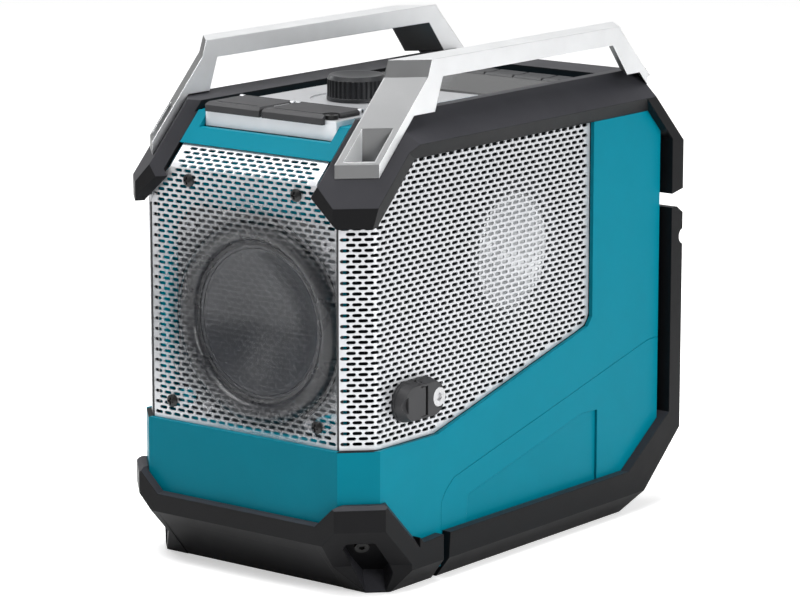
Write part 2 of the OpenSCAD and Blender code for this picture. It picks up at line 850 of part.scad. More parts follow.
module control_panel() {
    color(silver) difference() {
        union() {
            bar([-panel_x, panel_y0, deck_z + 0.1], [panel_x, lens_y0 + 1, panel_z]);
            bar([-panel_x, panel_y0, skirt_z], [panel_x, panel_y0 + wall - fit_gap, panel_z]);
            // Rib between the covers
            bar([-cover_gap_x - 0.7, panel_y0 + 10, panel_z - 1], [-cover_gap_x + 0.7, panel_y0 + 22, panel_z + 2.4]);
            cover_ears(usb_cover_x0, usb_cover_x1);
            cover_ears(aux_cover_x0, aux_cover_x1);
        }
        lens_bow(fit_gap);
        translate([0, knob_y0, panel_z - 0.8]) cylinder(r = knob_d / 2 + 9, h = 10, $fn = 96);
        translate([0, knob_y0, deck_z - 1]) cylinder(d = shaft_d + 2, h = 10, $fn = 48);
        translate([usb_x - 8, socket_y - 4.5, deck_z - 1]) cube([16, 9, 10]);
        translate([aux_x, socket_y, deck_z - 1]) cylinder(d = 9, h = 10, $fn = 48);
        cover_bores(usb_cover_x0, usb_cover_x1);
        cover_bores(aux_cover_x0, aux_cover_x1);
        translate([panel_screw_x, panel_y0 + 5.2, deck_z - 1]) cylinder(d = 3.4, h = 10, $fn = 24);
    }
}

module cover_ears(x0, x1) {
    for (x = [x0, x1 - 2.4]) {
        bar([x, cover_y1 - 1.7, panel_z - 1], [x + 2.4, cover_y1 + 1.7, cover_axis_z]);
        translate([x, cover_y1, cover_axis_z]) rotate([0, 90, 0]) cylinder(r = 1.7, h = 2.4, $fn = 32);
    }
}

module cover_bores(x0, x1) {
    translate([x0 - 1, cover_y1, cover_axis_z]) rotate([0, 90, 0])
        cylinder(d = cover_pin_d + 2 * run_gap, h = x1 - x0 + 2, $fn = 24);
}

// Rubber cover over a socket, hinged at its rear edge on two stub pins
module cover(x0, x1) {
    z0 = panel_z + fit_gap;
    z1 = panel_z + 2.9;
    y0 = panel_y0 - 2.4;
    ear = 2.4 + 0.3;
    color(black) difference() {
        union() {
            bar([x0, y0, z0], [x1, cover_y1 - 2.4, z1]);
            bar([x0 + ear, cover_y1 - 3, z0], [x1 - ear, cover_y1, z1]);
            bar([x0, y0, panel_z - 2.4], [x1, panel_y0 - fit_gap, z1]);
            translate([x0 + ear, cover_y1, cover_axis_z]) rotate([0, 90, 0])
                cylinder(r = 1.5, h = x1 - x0 - 2 * ear, $fn = 32);
            translate([x0 + 0.4, cover_y1, cover_axis_z]) rotate([0, 90, 0])
                cylinder(d = cover_pin_d, h = x1 - x0 - 0.8, $fn = 24);
        }
        // Bevelled front and side edges
        beyond([0, -1, 1], (z1 - y0 - 1.8) / s2);
        beyond([1, 0, 1], (z1 + x1 - 1.2) / s2);
        beyond([-1, 0, 1], (z1 - x0 - 1.2) / s2);
        // Finger groove along the front
        bar([x0 + 5, y0 + 4.2, z1 - 0.5], [x1 - 5, y0 + 5.4, z1 + 1]);
    }
}

module usb_cover() {
    cover(usb_cover_x0, usb_cover_x1);
}

module aux_cover() {
    difference() {
        cover(aux_cover_x0, aux_cover_x1);
        translate([panel_screw_x, panel_y0 + 5.2, panel_z - 4]) cylinder(d = 10, h = 12, $fn = 48);
        bar([panel_screw_x, panel_y0 - 5, panel_z - 4], [aux_cover_x1 + 1, panel_y0 + 5.2, panel_z + 8]);
    }
}

module panel_screw() {
    color(black) translate([panel_screw_x, panel_y0 + 5.2, 0]) {
        difference() {
            translate([0, 0, panel_z + 0.1]) cylinder(d = 7.4, h = 2.2, $fn = 48);
            translate([0, 0, panel_z + 1]) cylinder(d = 3.4, h = 3, $fn = 6);
        }
        translate([0, 0, deck_z - 0.9]) cylinder(d = 3.2, h = panel_z - deck_z + 1.2, $fn = 24);
    }
}

// Grip outline with square ribs
module knob_outline(r) {
    step = 360 / knob_ribs;
    polygon([for (i = [0:knob_ribs - 1], k = [0:3])
        let (a = (i + [0.05, 0.3, 0.45, 0.8][k]) * step, q = r - [0, 0, 1, 1][k]) [q * cos(a), q * sin(a)]]);
}

module volume_knob() {
    r = knob_d / 2;
    color(black) translate([0, knob_y0, knob_z0]) difference() {
        union() {
            cylinder(r = r, h = 1.8, $fn = 96);
            translate([0, 0, 1.7]) linear_extrude(knob_h - 4) knob_outline(r - 0.3);
            translate([0, 0, knob_h - 2.4]) cylinder(r1 = r - 0.4, r2 = r - 1.6, h = 2.4, $fn = 96);
        }
        // Dished top
        translate([0, 0, knob_h + 58.4]) sphere(r = 60, $fn = 180);
        translate([0, 0, -1]) cylinder(d = shaft_d + 2 * run_gap, h = 10.2, $fn = 48);
    }
}

module encoder_shaft() {
    z0 = board_z + board_t + 1.4;
    color(silver) translate([0, knob_y0, z0]) cylinder(d = shaft_d, h = knob_z0 + 9 - z0, $fn = 48);
}

module encoder_body() {
    z0 = board_z + board_t + 0.1;
    color(silver) translate([0, knob_y0, 0]) difference() {
        union() {
            translate([-7.5, -7.5, z0]) cube([15, 15, 8]);
            translate([0, 0, z0 + 7.9]) cylinder(d = 10, h = deck_z - z0 - 8, $fn = 48);
        }
        translate([0, 0, z0 + 1]) cylinder(d = shaft_d + 2 * run_gap, h = 40, $fn = 48);
    }
}

module display_lens() {
    w = inner_x - fit_gap;
    z1 = deck_z + 3.6;
    color(black) difference() {
        intersection() {
            bar([-w, lens_y0 - 2.4, deck_z + 0.1], [w, lens_y1 - fit_gap, z1]);
            lens_bow(0);
        }
        beyond([0, -1, 1], (z1 - lens_y0 - 1.6) / s2);
    }
}

// Space behind the slightly bowed front edge of the display, grown by d
module lens_bow(d) {
    translate([0, lens_y0 + 598, 0]) cylinder(r = 600 + d, h = big, $fn = 720);
}

module lcd_module() {
    color("lightslategray") {
        bar([-32, lens_y0 + 10, deck_z - 7], [32, lens_y1 - 10, deck_z - 0.1]);
        for (x = [-30, 26], y = [lens_y0 + 11, lens_y1 - 15])
            bar([x, y, board_z + board_t + 0.1], [x + 4, y + 4, deck_z - 6.9]);
    }
}

// Left and right edge of button i
function key_x0(i) = max((i - 3) * key_pitch, -key_end_x) + 0.4;
function key_x1(i) = min((i - 2) * key_pitch, key_end_x) - 0.4;

module button_bezel() {
    z0 = deck_z + 0.1;
    color(black) difference() {
        bar([-inner_x + fit_gap, keys_y0, z0], [inner_x - fit_gap, keys_y1, key_top - 1.4]);
        bar([-key_end_x - 0.4, keys_y0 + 1, z0 - 1], [key_end_x + 0.4, keys_y1 - 1, z0 + 1.9]);
        for (i = [0:5]) bar([key_x0(i) - 0.1, keys_y0 + 1.5, z0], [key_x1(i) + 0.1, keys_y1 - 1.5, big]);
    }
}

// Push button i: cap, retaining flange and stem
module button(i) {
    x0 = key_x0(i);
    x1 = key_x1(i);
    y0 = keys_y0 + 1.7;
    y1 = keys_y1 - 1.7;
    xm = (x0 + x1) / 2;
    color(black) difference() {
        union() {
            bar([x0 + 0.1, y0, deck_z + 1], [x1 - 0.1, y1, key_top]);
            bar([x0, y0 - 0.6, deck_z + 0.9], [x1, y1 + 0.6, deck_z + 1.7]);
            translate([xm, (y0 + y1) / 2, dome_z + button_travel + 0.1])
                cylinder(d = 6, h = deck_z + 1 - dome_z, $fn = 32);
        }
        beyond([0, -1, 1], (key_top - y0 - 1.2) / s2);
        beyond([0, 1, 1], (key_top + y1 - 1.2) / s2);
        beyond([1, 0, 1], (key_top + x1 - 0.7) / s2);
        beyond([-1, 0, 1], (key_top - x0 - 0.7) / s2);
        // Finger dish
        translate([xm, (y0 + y1) / 2, key_top + 39.6]) rotate([0, 90, 0]) translate([0, 0, -big / 2])
            cylinder(r = 40, h = big, $fn = 180);
    }
}

module button_1() {
    button(0);
}

module button_2() {
    button(1);
}

module button_3() {
    button(2);
}

module button_4() {
    button(3);
}

module button_5() {
    button(4);
}

module button_6() {
    button(5);
}

module keypad() {
    z0 = board_z + board_t + 0.1;
    color("dimgray") {
        bar([-key_end_x + 2, keys_y0 + 2, z0], [key_end_x - 2, keys_y1 - 2, z0 + 1.2]);
        for (i = [0:5]) translate([(key_x0(i) + key_x1(i)) / 2, (keys_y0 + keys_y1) / 2, z0 + 1.1])
            cylinder(r1 = 5, r2 = 3.5, h = dome_z - z0 - 1.1, $fn = 32);
    }
}

module control_board() {
    color("darkgreen") difference() {
        bar([-inner_x + 3, panel_y0 + 6, board_z], [inner_x - 3, keys_y1 + 2, board_z + board_t]);
        board_screw_places() cylinder(d = 3.4, h = big, $fn = 24);
    }
}

module usb_socket() {
    z0 = board_z + board_t + 0.1;
    color(silver) translate([usb_x, socket_y, z0]) {
        difference() {
            translate([-7.2, -3.5, 0]) cube([14.4, 7, panel_z - z0 - 0.6]);
            translate([-6.6, -2.9, 3]) cube([13.2, 5.8, 20]);
        }
        translate([-5.5, 0.6, 2.9]) cube([11, 1.8, 10]);
    }
}

module aux_socket() {
    z0 = board_z + board_t + 0.1;
    color(black) translate([aux_x, socket_y, z0]) difference() {
        union() {
            translate([-6, -6, 0]) cube([12, 12, 9]);
            translate([0, 0, 8.9]) cylinder(d = 8, h = panel_z - z0 - 9.5, $fn = 48);
        }
        translate([0, 0, 2]) cylinder(d = 3.6, h = 30, $fn = 32);
    }
}

// ---- Power inlet on the right side ----

// Frame of the inlet: X along the body's length, Z out of the side, zero on the grille
module inlet_place() {
    translate([half, front + inlet_y, inlet_z]) rotate([90, 0, 90]) children();
}

// Round-ended block with drafted sides, long side along X
module inlet_block(z0, z1) {
    intersection() {
        rotate([0, 0, 90]) translate([0, 0, z0]) obround(inlet_l, inlet_h, z1 - z0);
        union() {
            for (x = [-1, 1] * (inlet_l - inlet_h) / 2) translate([x, 0, 0])
                cylinder(r1 = inlet_h / 2 + 0.6, r2 = inlet_h / 2 - 1.8, h = inlet_t, $fn = 64);
            rotate([90, 0, 90]) translate([0, 0, -(inlet_l - inlet_h) / 2]) linear_extrude(inlet_l - inlet_h)
                polygon([[-inlet_h / 2 - 0.6, 0], [inlet_h / 2 + 0.6, 0], [inlet_h / 2 - 1.8, inlet_t],
                    [-inlet_h / 2 + 1.8, inlet_t]]);
        }
    }
}

module inlet_base() {
    s = inlet_slit - inlet_y;
    r = inlet_r + 0.25;
    color(black) inlet_place() difference() {
        union() {
            inlet_block(fit_gap, 2.2);
            intersection() {
                inlet_block(fit_gap, inlet_t);
                bar([s + 0.35, -20, 0], [40, 20, 20]);
            }
            // Rounded ears of the hinge
            difference() {
                intersection() {
                    inlet_block(fit_gap, inlet_t);
                    union() {
                        bar([s - inlet_r, -20, 0], [s + 1, 20, 20]);
                        translate([s - inlet_r, 0, inlet_axis]) rotate([90, 0, 0])
                            cylinder(r = inlet_r, h = 40, center = true, $fn = 64);
                    }
                }
                bar([s - 3 * inlet_r, -inlet_hinge_w / 2 - 0.3, 2.1], [s + 0.35, inlet_hinge_w / 2 + 0.3, 20]);
            }
            // Neck through the grille
            rotate([0, 0, 90]) translate([0, 0, -pocket + 0.1]) obround(inlet_l - 4.6, inlet_h - 4.6, pocket + 0.3);
        }
        // Seat of the flap's rolled end
        translate([s - inlet_r, 0, inlet_axis]) rotate([90, 0, 0])
            cylinder(r = r, h = inlet_hinge_w + 0.6, center = true, $fn = 64);
        translate([s - inlet_r, 0, inlet_axis]) rotate([90, 0, 0])
            cylinder(d = cover_pin_d + 2 * run_gap, h = 40, center = true, $fn = 24);
        translate([inlet_jack_y - front - inlet_y, 0, -10]) cylinder(d = 12, h = 20, $fn = 48);
        translate([inlet_screw_y - front - inlet_y, 0, -10]) cylinder(d = 4.4, h = 30, $fn = 24);
        translate([inlet_screw_y - front - inlet_y, 0, inlet_t - 2.2]) cylinder(d = 11, h = 10, $fn = 48);
    }
}

module inlet_flap() {
    s = inlet_slit - inlet_y;
    color(black) inlet_place() difference() {
        union() {
            difference() {
                inlet_block(2.5, inlet_t);
                bar([s - 2 * inlet_r - 0.3, -30, -1], [60, 30, 20]);
            }
            bar([s - 2 * inlet_r - 1, -inlet_hinge_w / 2, 2.5], [s - inlet_r, inlet_hinge_w / 2, inlet_t]);
            translate([s - inlet_r, 0, inlet_axis]) rotate([90, 0, 0])
                cylinder(r = inlet_r, h = inlet_hinge_w, center = true, $fn = 64);
            translate([s - inlet_r, 0, inlet_axis]) rotate([90, 0, 0])
                cylinder(d = cover_pin_d, h = inlet_hinge_w + 2, center = true, $fn = 24);
        }
        // Thumb recess at the free end
        translate([-inlet_l / 2 - 1, 0, inlet_t + 4]) rotate([0, 90, 0]) cylinder(r = 6, h = 6, $fn = 48);
    }
}

module inlet_screw() {
    color(silver) translate([half, inlet_screw_y, inlet_z]) rotate([0, 90, 0]) difference() {
        union() {
            translate([0, 0, inlet_t - 2.1]) cylinder(d = 10.5, h = 1.8, $fn = 48);
            translate([0, 0, -pocket - wall]) cylinder(d = 4, h = inlet_t + pocket + wall - 2, $fn = 24);
        }
        translate([0, 0, inlet_t - 1.3]) cylinder(d = 4.6, h = 3, $fn = 6);
    }
}

module inlet_jack() {
    color("dimgray") translate([half, inlet_jack_y, inlet_z]) rotate([0, 90, 0]) {
        difference() {
            union() {
                translate([0, 0, -16]) cylinder(d = 11.6, h = 18, $fn = 48);
                translate([0, 0, -20]) cylinder(d = 15, h = 20 - pocket - wall - 0.1, $fn = 48);
            }
            translate([0, 0, -14]) cylinder(d = 6, h = 30, $fn = 48);
        }
        translate([0, 0, -15]) cylinder(d = 2, h = 15, $fn = 24);
    }
}

// ---- Speakers ----

module woofer_frame() {
    w = flange_w;
    color(black) facing_front() {
        difference() {
            translate([0, 0, -3.4]) linear_extrude(3.4) difference() {
                intersection() {
                    square(w, center = true);
                    rotate(45) square(w * 1.28, center = true);
                }
                circle(r = woofer_d / 2 - 3, $fn = 96);
            }
            woofer_screw_places() cylinder(d = 4.4, h = 20, center = true, $fn = 24);
            // Room for the bosses of the grille screws
            translate([0, -woofer_z, 0]) rotate([-90, 0, 0]) grille_screw_places() rotate([-90, 0, 0])
                cylinder(d = 10.6, h = 40, center = true, $fn = 32);
        }
        rotate_extrude($fn = 96) polygon([
            [woofer_d / 2 - 3.1, -3.3], [woofer_d / 2 + 0.8, -3.3], [woofer_d / 2 + 0.8, -12], [38, -46],
            [17, -46], [17, -44], [36.6, -44], [woofer_d / 2 - 3.1, -11.4]
        ]);
    }
}

module woofer_screw_places() {
    for (x = [-1, 1]) {
        translate([x * (flange_w / 2 - 10), flange_w / 2 - 10, 0]) children();
        translate([x * flange_w * 0.31, 6 - flange_w / 2, 0]) children();
    }
}

module woofer_screws() {
    color("dimgray") facing_front() woofer_screw_places() difference() {
        union() {
            translate([0, 0, 0.1]) cylinder(d = 7, h = 2, $fn = 32);
            translate([0, 0, -6]) cylinder(d = 4, h = 6.2, $fn = 24);
        }
        translate([0, 0, 1]) cylinder(d = 3, h = 3, $fn = 6);
    }
}

module woofer_surround() {
    r1 = woofer_d / 2;
    roll = 6;
    color([0.2, 0.2, 0.21]) facing_front() rotate_extrude($fn = 96) {
        translate([r1 - roll, 0.1]) intersection() {
            difference() {
                circle(r = roll, $fn = 48);
                circle(r = roll - 1.2, $fn = 48);
            }
            translate([-roll, 0]) square([2 * roll, roll]);
        }
        translate([r1 - 1.2, 0.1]) square([3, 1]);
        translate([r1 - 2 * roll - 2, 0.1]) square([3.2, 1]);
    }
}

module woofer_cone() {
    r = woofer_d / 2 - 12.2;
    color([0.25, 0.25, 0.27]) facing_front() {
        rotate_extrude($fn = 96) polygon([
            [r - 2, 0], [r, 0], [r * 0.72, -14.8], [15.6, -30], [15.6, -43], [14.6, -43], [14.6, -29], [r * 0.7, -13.9]
        ]);
        // Dust cap
        translate([0, 0, -36.4]) intersection() {
            difference() {
                sphere(r = 19, $fn = 64);
                sphere(r = 18, $fn = 64);
            }
            translate([-20, -20, 7.6]) cube([40, 40, 20]);
        }
    }
}

module woofer_magnet() {
    color("dimgray") facing_front() difference() {
        translate([0, 0, -68]) cylinder(d = 84, h = 21.9, $fn = 96);
        difference() {
            translate([0, 0, -50]) cylinder(r = 16.2, h = 10, $fn = 64);
            translate([0, 0, -51]) cylinder(r = 14, h = 12, $fn = 64);
        }
    }
}

// Side speaker: flange on the housing, basket and magnet in one assembly
module mid_frame() {
    r = mid_d / 2;
    color(black) facing_side() {
        difference() {
            translate([0, 0, -1.5]) cylinder(r = r + 7, h = 1.5, $fn = 96);
            translate([0, 0, -2]) cylinder(r = r, h = 4, $fn = 96);
        }
        rotate_extrude($fn = 96) polygon([
            [r - 0.1, -1.4], [r + 2.6, -1.4], [r + 2.6, -8], [24, -26], [24, -44], [9.4, -44], [9.4, -24],
            [22.4, -24], [r - 0.1, -7.2]
        ]);
    }
}

module mid_cone() {
    r = mid_d / 2 - 0.3;
    color([0.75, 0.76, 0.78]) facing_side() {
        rotate_extrude($fn = 96) polygon([
            [r, -2.4], [r - 3, -0.6], [r - 6, -2.4], [8, -16], [8, -24], [8.8, -24], [8.8, -17.2], [r - 6.3, -3.6],
            [r - 3, -1.7], [r, -3.5]
        ]);
        translate([0, 0, -22.4]) intersection() {
            difference() {
                sphere(r = 11, $fn = 48);
                sphere(r = 10.2, $fn = 48);
            }
            translate([-12, -12, 6.6]) cube([24, 24, 12]);
        }
    }
}

module mid_frame_right() {
    mid_frame();
}

module mid_frame_left() {
    mirror([1, 0, 0]) mid_frame();
}

module mid_cone_right() {
    mid_cone();
}

module mid_cone_left() {
    mirror([1, 0, 0]) mid_cone();
}

// ---- Battery bay and door ----

module battery_bay() {
    y1 = tail - wall - 0.1;
    color("dimgray") difference() {
        bar([-bay_x - 2, y1 - bay_d, bay_z0 - 2], [bay_x + 2, y1, bay_z1 + 2]);
        bar([-bay_x, y1 - bay_d + 2, bay_z0], [bay_x, big, bay_z1]);
    }
    // Rails that guide the two packs
    color("dimgray") both_sides() for (x = [bay_x - 14, 4])
        bar([x, y1 - bay_d + 1.9, bay_z0 - 0.1], [x + 6, y1 - 8, bay_z0 + 5]);
}

module battery_terminals() {
    y0 = tail - wall - 0.1 - bay_d + 2;
    color("darkgray") both_sides() {
        bar([18, y0 + 0.1, bay_z0 + 24], [44, y0 + 6, bay_z0 + 46]);
        for (x = [23, 30, 37]) bar([x, y0 + 5.9, bay_z0 + 28], [x + 1.2, y0 + 18, bay_z0 + 42]);
    }
}

module battery_door() {
    w = door_w / 2;
    y0 = tail + 0.4;
    y1 = y0 + door_t;
    color(black) difference() {
        union() {
            difference() {
                along_y(y0, y1) door_outline(w, 0);
                along_y(y0 - 1, y1 - 3) door_outline(w - 9, 9);
            }
            // Knuckles round the pins
            both_sides() hull() {
                bar([ear_x - 4, y0 + 1, door_z0 - 1], [ear_x + 4, y0 + 7, door_z0 + 4]);
                translate([ear_x - 4, hinge_y, hinge_z]) rotate([0, 90, 0]) cylinder(r = 4, h = 8, $fn = 32);
            }
            // Stiffening ribs
            for (x = [-30, 30]) bar([x - 1, y1 - 6, door_z0 + 8], [x + 1, y1 - 2.9, door_z1 - 12]);
            translate([0, y0 + 1, latch_z]) rotate([-90, 0, 0]) cylinder(d = latch_d + 8, h = door_t - 2, $fn = 48);
        }
        both_sides() translate([ear_x - 20, hinge_y, hinge_z]) rotate([0, 90, 0])
            cylinder(d = pin_d + 2 * run_gap, h = 40, $fn = 32);
        translate([0, y0 - 1, latch_z]) rotate([-90, 0, 0]) cylinder(d = latch_d + 2 * run_gap, h = 20, $fn = 48);
        // Groove for the seal and bevelled outer edges
        along_y(y0 - 1, y0 + 1.6) difference() {
            door_outline(w - 3, 3);
            door_outline(w - 6, 6);
        }
        beyond([0, 1, 1], (y1 + door_z1 - 4) / s2);
        both_sides() beyond([1, 1, 0], (y1 + w - 3) / s2);
    }
}

// Door seen from behind, with cut corners, drawn in by d
module door_outline(w, d) {
    c = 8;
    polygon([
        [-w + c, door_z0 + d], [w - c, door_z0 + d], [w, door_z0 + d + c], [w, door_z1 - d - c],
        [w - c, door_z1 - d], [-w + c, door_z1 - d], [-w, door_z1 - d - c], [-w, door_z0 + d + c]
    ]);
}

module door_seal() {
    w = door_w / 2;
    color("dimgray") along_y(tail + 0.3, tail + 1.9) difference() {
        door_outline(w - 3.2, 3.2);
        door_outline(w - 5.8, 5.8);
    }
}

module door_pins() {
    color(silver) both_sides() translate([ear_x - 9, hinge_y, hinge_z]) rotate([0, 90, 0])
        cylinder(d = pin_d, h = 18, $fn = 32);
}

// Quarter-turn latch, shown turned to its open position
module door_latch() {
    y0 = tail - wall - latch_gap;
    y1 = tail + 0.4 + door_t;
    color(black) translate([0, 0, latch_z]) {
        translate([0, y0 - 2.9, 0]) rotate([-90, 0, 0]) cylinder(d = latch_d, h = y1 - y0 + 3.2, $fn = 48);
        translate([0, y0, 0]) rotate([90, 0, 0]) linear_extrude(3) {
            translate([0, -latch_d / 2]) square([latch_l, latch_d]);
        }
        translate([0, y1 + 0.3, 0]) rotate([-90, 0, 0]) difference() {
            cylinder(d = 26, h = 5, $fn = 64);
            for (y = [-1, 1]) translate([-20, y * 14 - 9, 1.5]) cube([40, 18, 10]);
        }
    }
}

// ---- Inside ----

module main_board() {
    color("darkgreen") difference() {
        bar([-58, -56, main_z], [58, 56, main_z + board_t]);
        main_board_places() cylinder(d = 3.2, h = big, center = true, $fn = 24);
    }
}

module board_screws() {
    color(silver) {
        main_board_places() {
            translate([0, 0, main_z + board_t + 0.1]) cylinder(d = 5.6, h = 2, $fn = 32);
            translate([0, 0, main_z - 5]) cylinder(d = 2.5, h = board_t + 5.2, $fn = 24);
        }
        board_screw_places() {
            translate([0, 0, board_z - 2.1]) cylinder(d = 5.6, h = 2, $fn = 32);
            translate([0, 0, board_z - 0.2]) cylinder(d = 3, h = board_t + 0.3, $fn = 24);
        }
    }
}

module heat_sink() {
    z = main_z + board_t + 0.1;
    color("darkgray") {
        bar([-36, -30, z], [36, 30, z + 5]);
        for (i = [0:8]) bar([-36 + i * 8.75, -30, z + 4.9], [-34 + i * 8.75, 30, z + 28]);
    }
}

upper_housing();
lower_housing();
front_grille();
side_grille_right();
side_grille_left();
grille_gaskets();
grille_screws();
top_frame();
front_bumper();
rear_bumper();
bumper_screws();
handle_right();
handle_left();
handle_screws();
control_panel();
panel_screw();
display_lens();
lcd_module();
button_bezel();
button_1();
button_2();
button_3();
button_4();
button_5();
button_6();
keypad();
control_board();
volume_knob();
encoder_shaft();
encoder_body();
usb_cover();
aux_cover();
usb_socket();
aux_socket();
inlet_base();
inlet_flap();
inlet_screw();
inlet_jack();
woofer_frame();
woofer_surround();
woofer_cone();
woofer_magnet();
woofer_screws();
mid_frame_right();
mid_frame_left();
mid_cone_right();
mid_cone_left();
battery_bay();
battery_terminals();
battery_door();
door_seal();
door_pins();
door_latch();
main_board();
board_screws();
heat_sink();
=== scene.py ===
import math

import bpy
import numpy as np
from bpy.props import FloatProperty, FloatVectorProperty, PointerProperty
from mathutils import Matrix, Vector


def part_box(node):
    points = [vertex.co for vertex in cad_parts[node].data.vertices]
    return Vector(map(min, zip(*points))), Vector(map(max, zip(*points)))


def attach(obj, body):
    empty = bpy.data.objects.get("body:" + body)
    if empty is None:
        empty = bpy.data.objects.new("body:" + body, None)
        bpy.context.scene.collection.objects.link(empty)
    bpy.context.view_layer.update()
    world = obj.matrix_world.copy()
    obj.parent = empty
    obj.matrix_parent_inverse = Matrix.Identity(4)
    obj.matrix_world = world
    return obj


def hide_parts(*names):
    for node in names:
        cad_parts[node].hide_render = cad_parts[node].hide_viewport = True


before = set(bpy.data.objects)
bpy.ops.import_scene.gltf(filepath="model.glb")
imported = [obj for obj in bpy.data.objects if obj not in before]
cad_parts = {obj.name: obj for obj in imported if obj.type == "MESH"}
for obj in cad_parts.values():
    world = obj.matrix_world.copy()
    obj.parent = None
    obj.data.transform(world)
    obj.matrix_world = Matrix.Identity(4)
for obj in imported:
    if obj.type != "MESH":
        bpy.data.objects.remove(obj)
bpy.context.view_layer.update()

bl_info = {
    "name": "Jobsite radio finish",
    "version": (1, 0, 0),
    "blender": (4, 5, 0),
    "location": "3D View > Sidebar > Radio",
    "description": "Dresses the radio with perforated grilles and moulded, cast and painted finishes",
    "category": "Object",
}

MM = 0.001
# Points round a turned piece
TURNS = 96


# ---- Settings a user would change ----


class RadioColours(bpy.types.PropertyGroup):
    """Colours of the radio's finishes."""

    housing: FloatVectorProperty(
        name="Housings", description="Colour of the moulded housings", subtype="COLOR", size=3,
        min=0, max=1, default=(0.0, 0.170, 0.236),
    )
    bumper: FloatVectorProperty(
        name="Bumpers", description="Colour of the soft bumpers and the top frame", subtype="COLOR",
        size=3, min=0, max=1, default=(0.0045, 0.0045, 0.0052),
    )
    silver: FloatVectorProperty(
        name="Silver", description="Colour of the grilles and the control panel", subtype="COLOR",
        size=3, min=0, max=1, default=(0.60, 0.61, 0.63),
    )
    handle: FloatVectorProperty(
        name="Handles", description="Colour of the cast handles", subtype="COLOR", size=3,
        min=0, max=1, default=(0.90, 0.91, 0.92),
    )


class RadioGrille(bpy.types.PropertyGroup):
    """Sizes of the perforated sheets."""

    slot_length: FloatProperty(
        name="Slot length", description="Length of one slot", subtype="DISTANCE", unit="LENGTH",
        default=5.3 * MM, min=1 * MM, max=6 * MM,
    )
    slot_height: FloatProperty(
        name="Slot height", description="Height of one slot", subtype="DISTANCE", unit="LENGTH",
        default=1.85 * MM, min=0.4 * MM, max=2.5 * MM,
    )
    pitch: FloatProperty(
        name="Slot pitch", description="Distance between slots in a row", subtype="DISTANCE",
        unit="LENGTH", default=6.42 * MM, min=3 * MM, max=12 * MM,
    )
    row_pitch: FloatProperty(
        name="Row pitch", description="Distance between rows of slots", subtype="DISTANCE",
        unit="LENGTH", default=2.88 * MM, min=1.5 * MM, max=8 * MM,
    )
    sheet: FloatProperty(
        name="Sheet", description="Thickness of the sheet", subtype="DISTANCE", unit="LENGTH",
        default=0.9 * MM, min=0.3 * MM, max=1.2 * MM,
    )


class RadioStage(bpy.types.PropertyGroup):
    """Camera and light."""

    lens: FloatProperty(
        name="Lens", description="Focal length of the camera in millimetres", default=166.28,
        min=20, max=400,
    )
    key: FloatProperty(
        name="Key light", description="Power of the overhead light in watts", default=62, min=0)
    left: FloatProperty(
        name="Left light", description="Power of the light at the front in watts", default=4, min=0)
    right: FloatProperty(
        name="Right light", description="Power of the light at the side in watts", default=36, min=0)


# ---- Meshes ----


def new_piece(name, verts, faces, body, replaced=(), smooth=None):
    """A mesh object at the origin from arrays of points and faces. Smooth is the angle in degrees up
    to which neighbouring faces are shaded as one surface."""
    mesh = bpy.data.meshes.new(name)
    mesh.from_pydata(verts, [], faces)
    mesh.validate()
    mesh.update()
    obj = bpy.data.objects.new(name, mesh)
    bpy.context.scene.collection.objects.link(obj)
    if smooth:
        mesh.polygons.foreach_set("use_smooth", np.ones(len(mesh.polygons), bool))
        mesh.set_sharp_from_angle(angle=math.radians(smooth))
    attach(obj, body)
    if replaced:
        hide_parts(*replaced)
    return obj


def weld(obj):
    """Points closer than a micrometre become one."""
    obj.modifiers.new("weld", "WELD").merge_threshold = 1e-6


def thicken(obj, name, thickness):
    """The surface gets a wall on its inner side."""
    wall = obj.modifiers.new(name, "SOLIDIFY")
    wall.thickness = thickness
    wall.offset = -1


def bent_path(corners, radius, steps=5):
    """Points of a broken line whose inner corners are rounded by quadratic arcs that start radius
    before each corner."""
    pts = [np.array(corners[0], float)]
    for a, b, c in zip(corners, corners[1:], corners[2:]):
        a, b, c = (np.array(p, float) for p in (a, b, c))
        p = b + (a - b) / np.linalg.norm(a - b) * radius
        q = b + (c - b) / np.linalg.norm(c - b) * radius
        t = np.linspace(0, 1, steps)[:, None]
        pts.extend((1 - t) ** 2 * p + 2 * t * (1 - t) * b + t**2 * q)
    pts.append(np.array(corners[-1], float))
    return np.array(pts)


def run_length(path):
    """Distance along a path at each of its points."""
    return np.concatenate(([0], np.cumsum(np.linalg.norm(np.diff(path, axis=0), axis=1))))


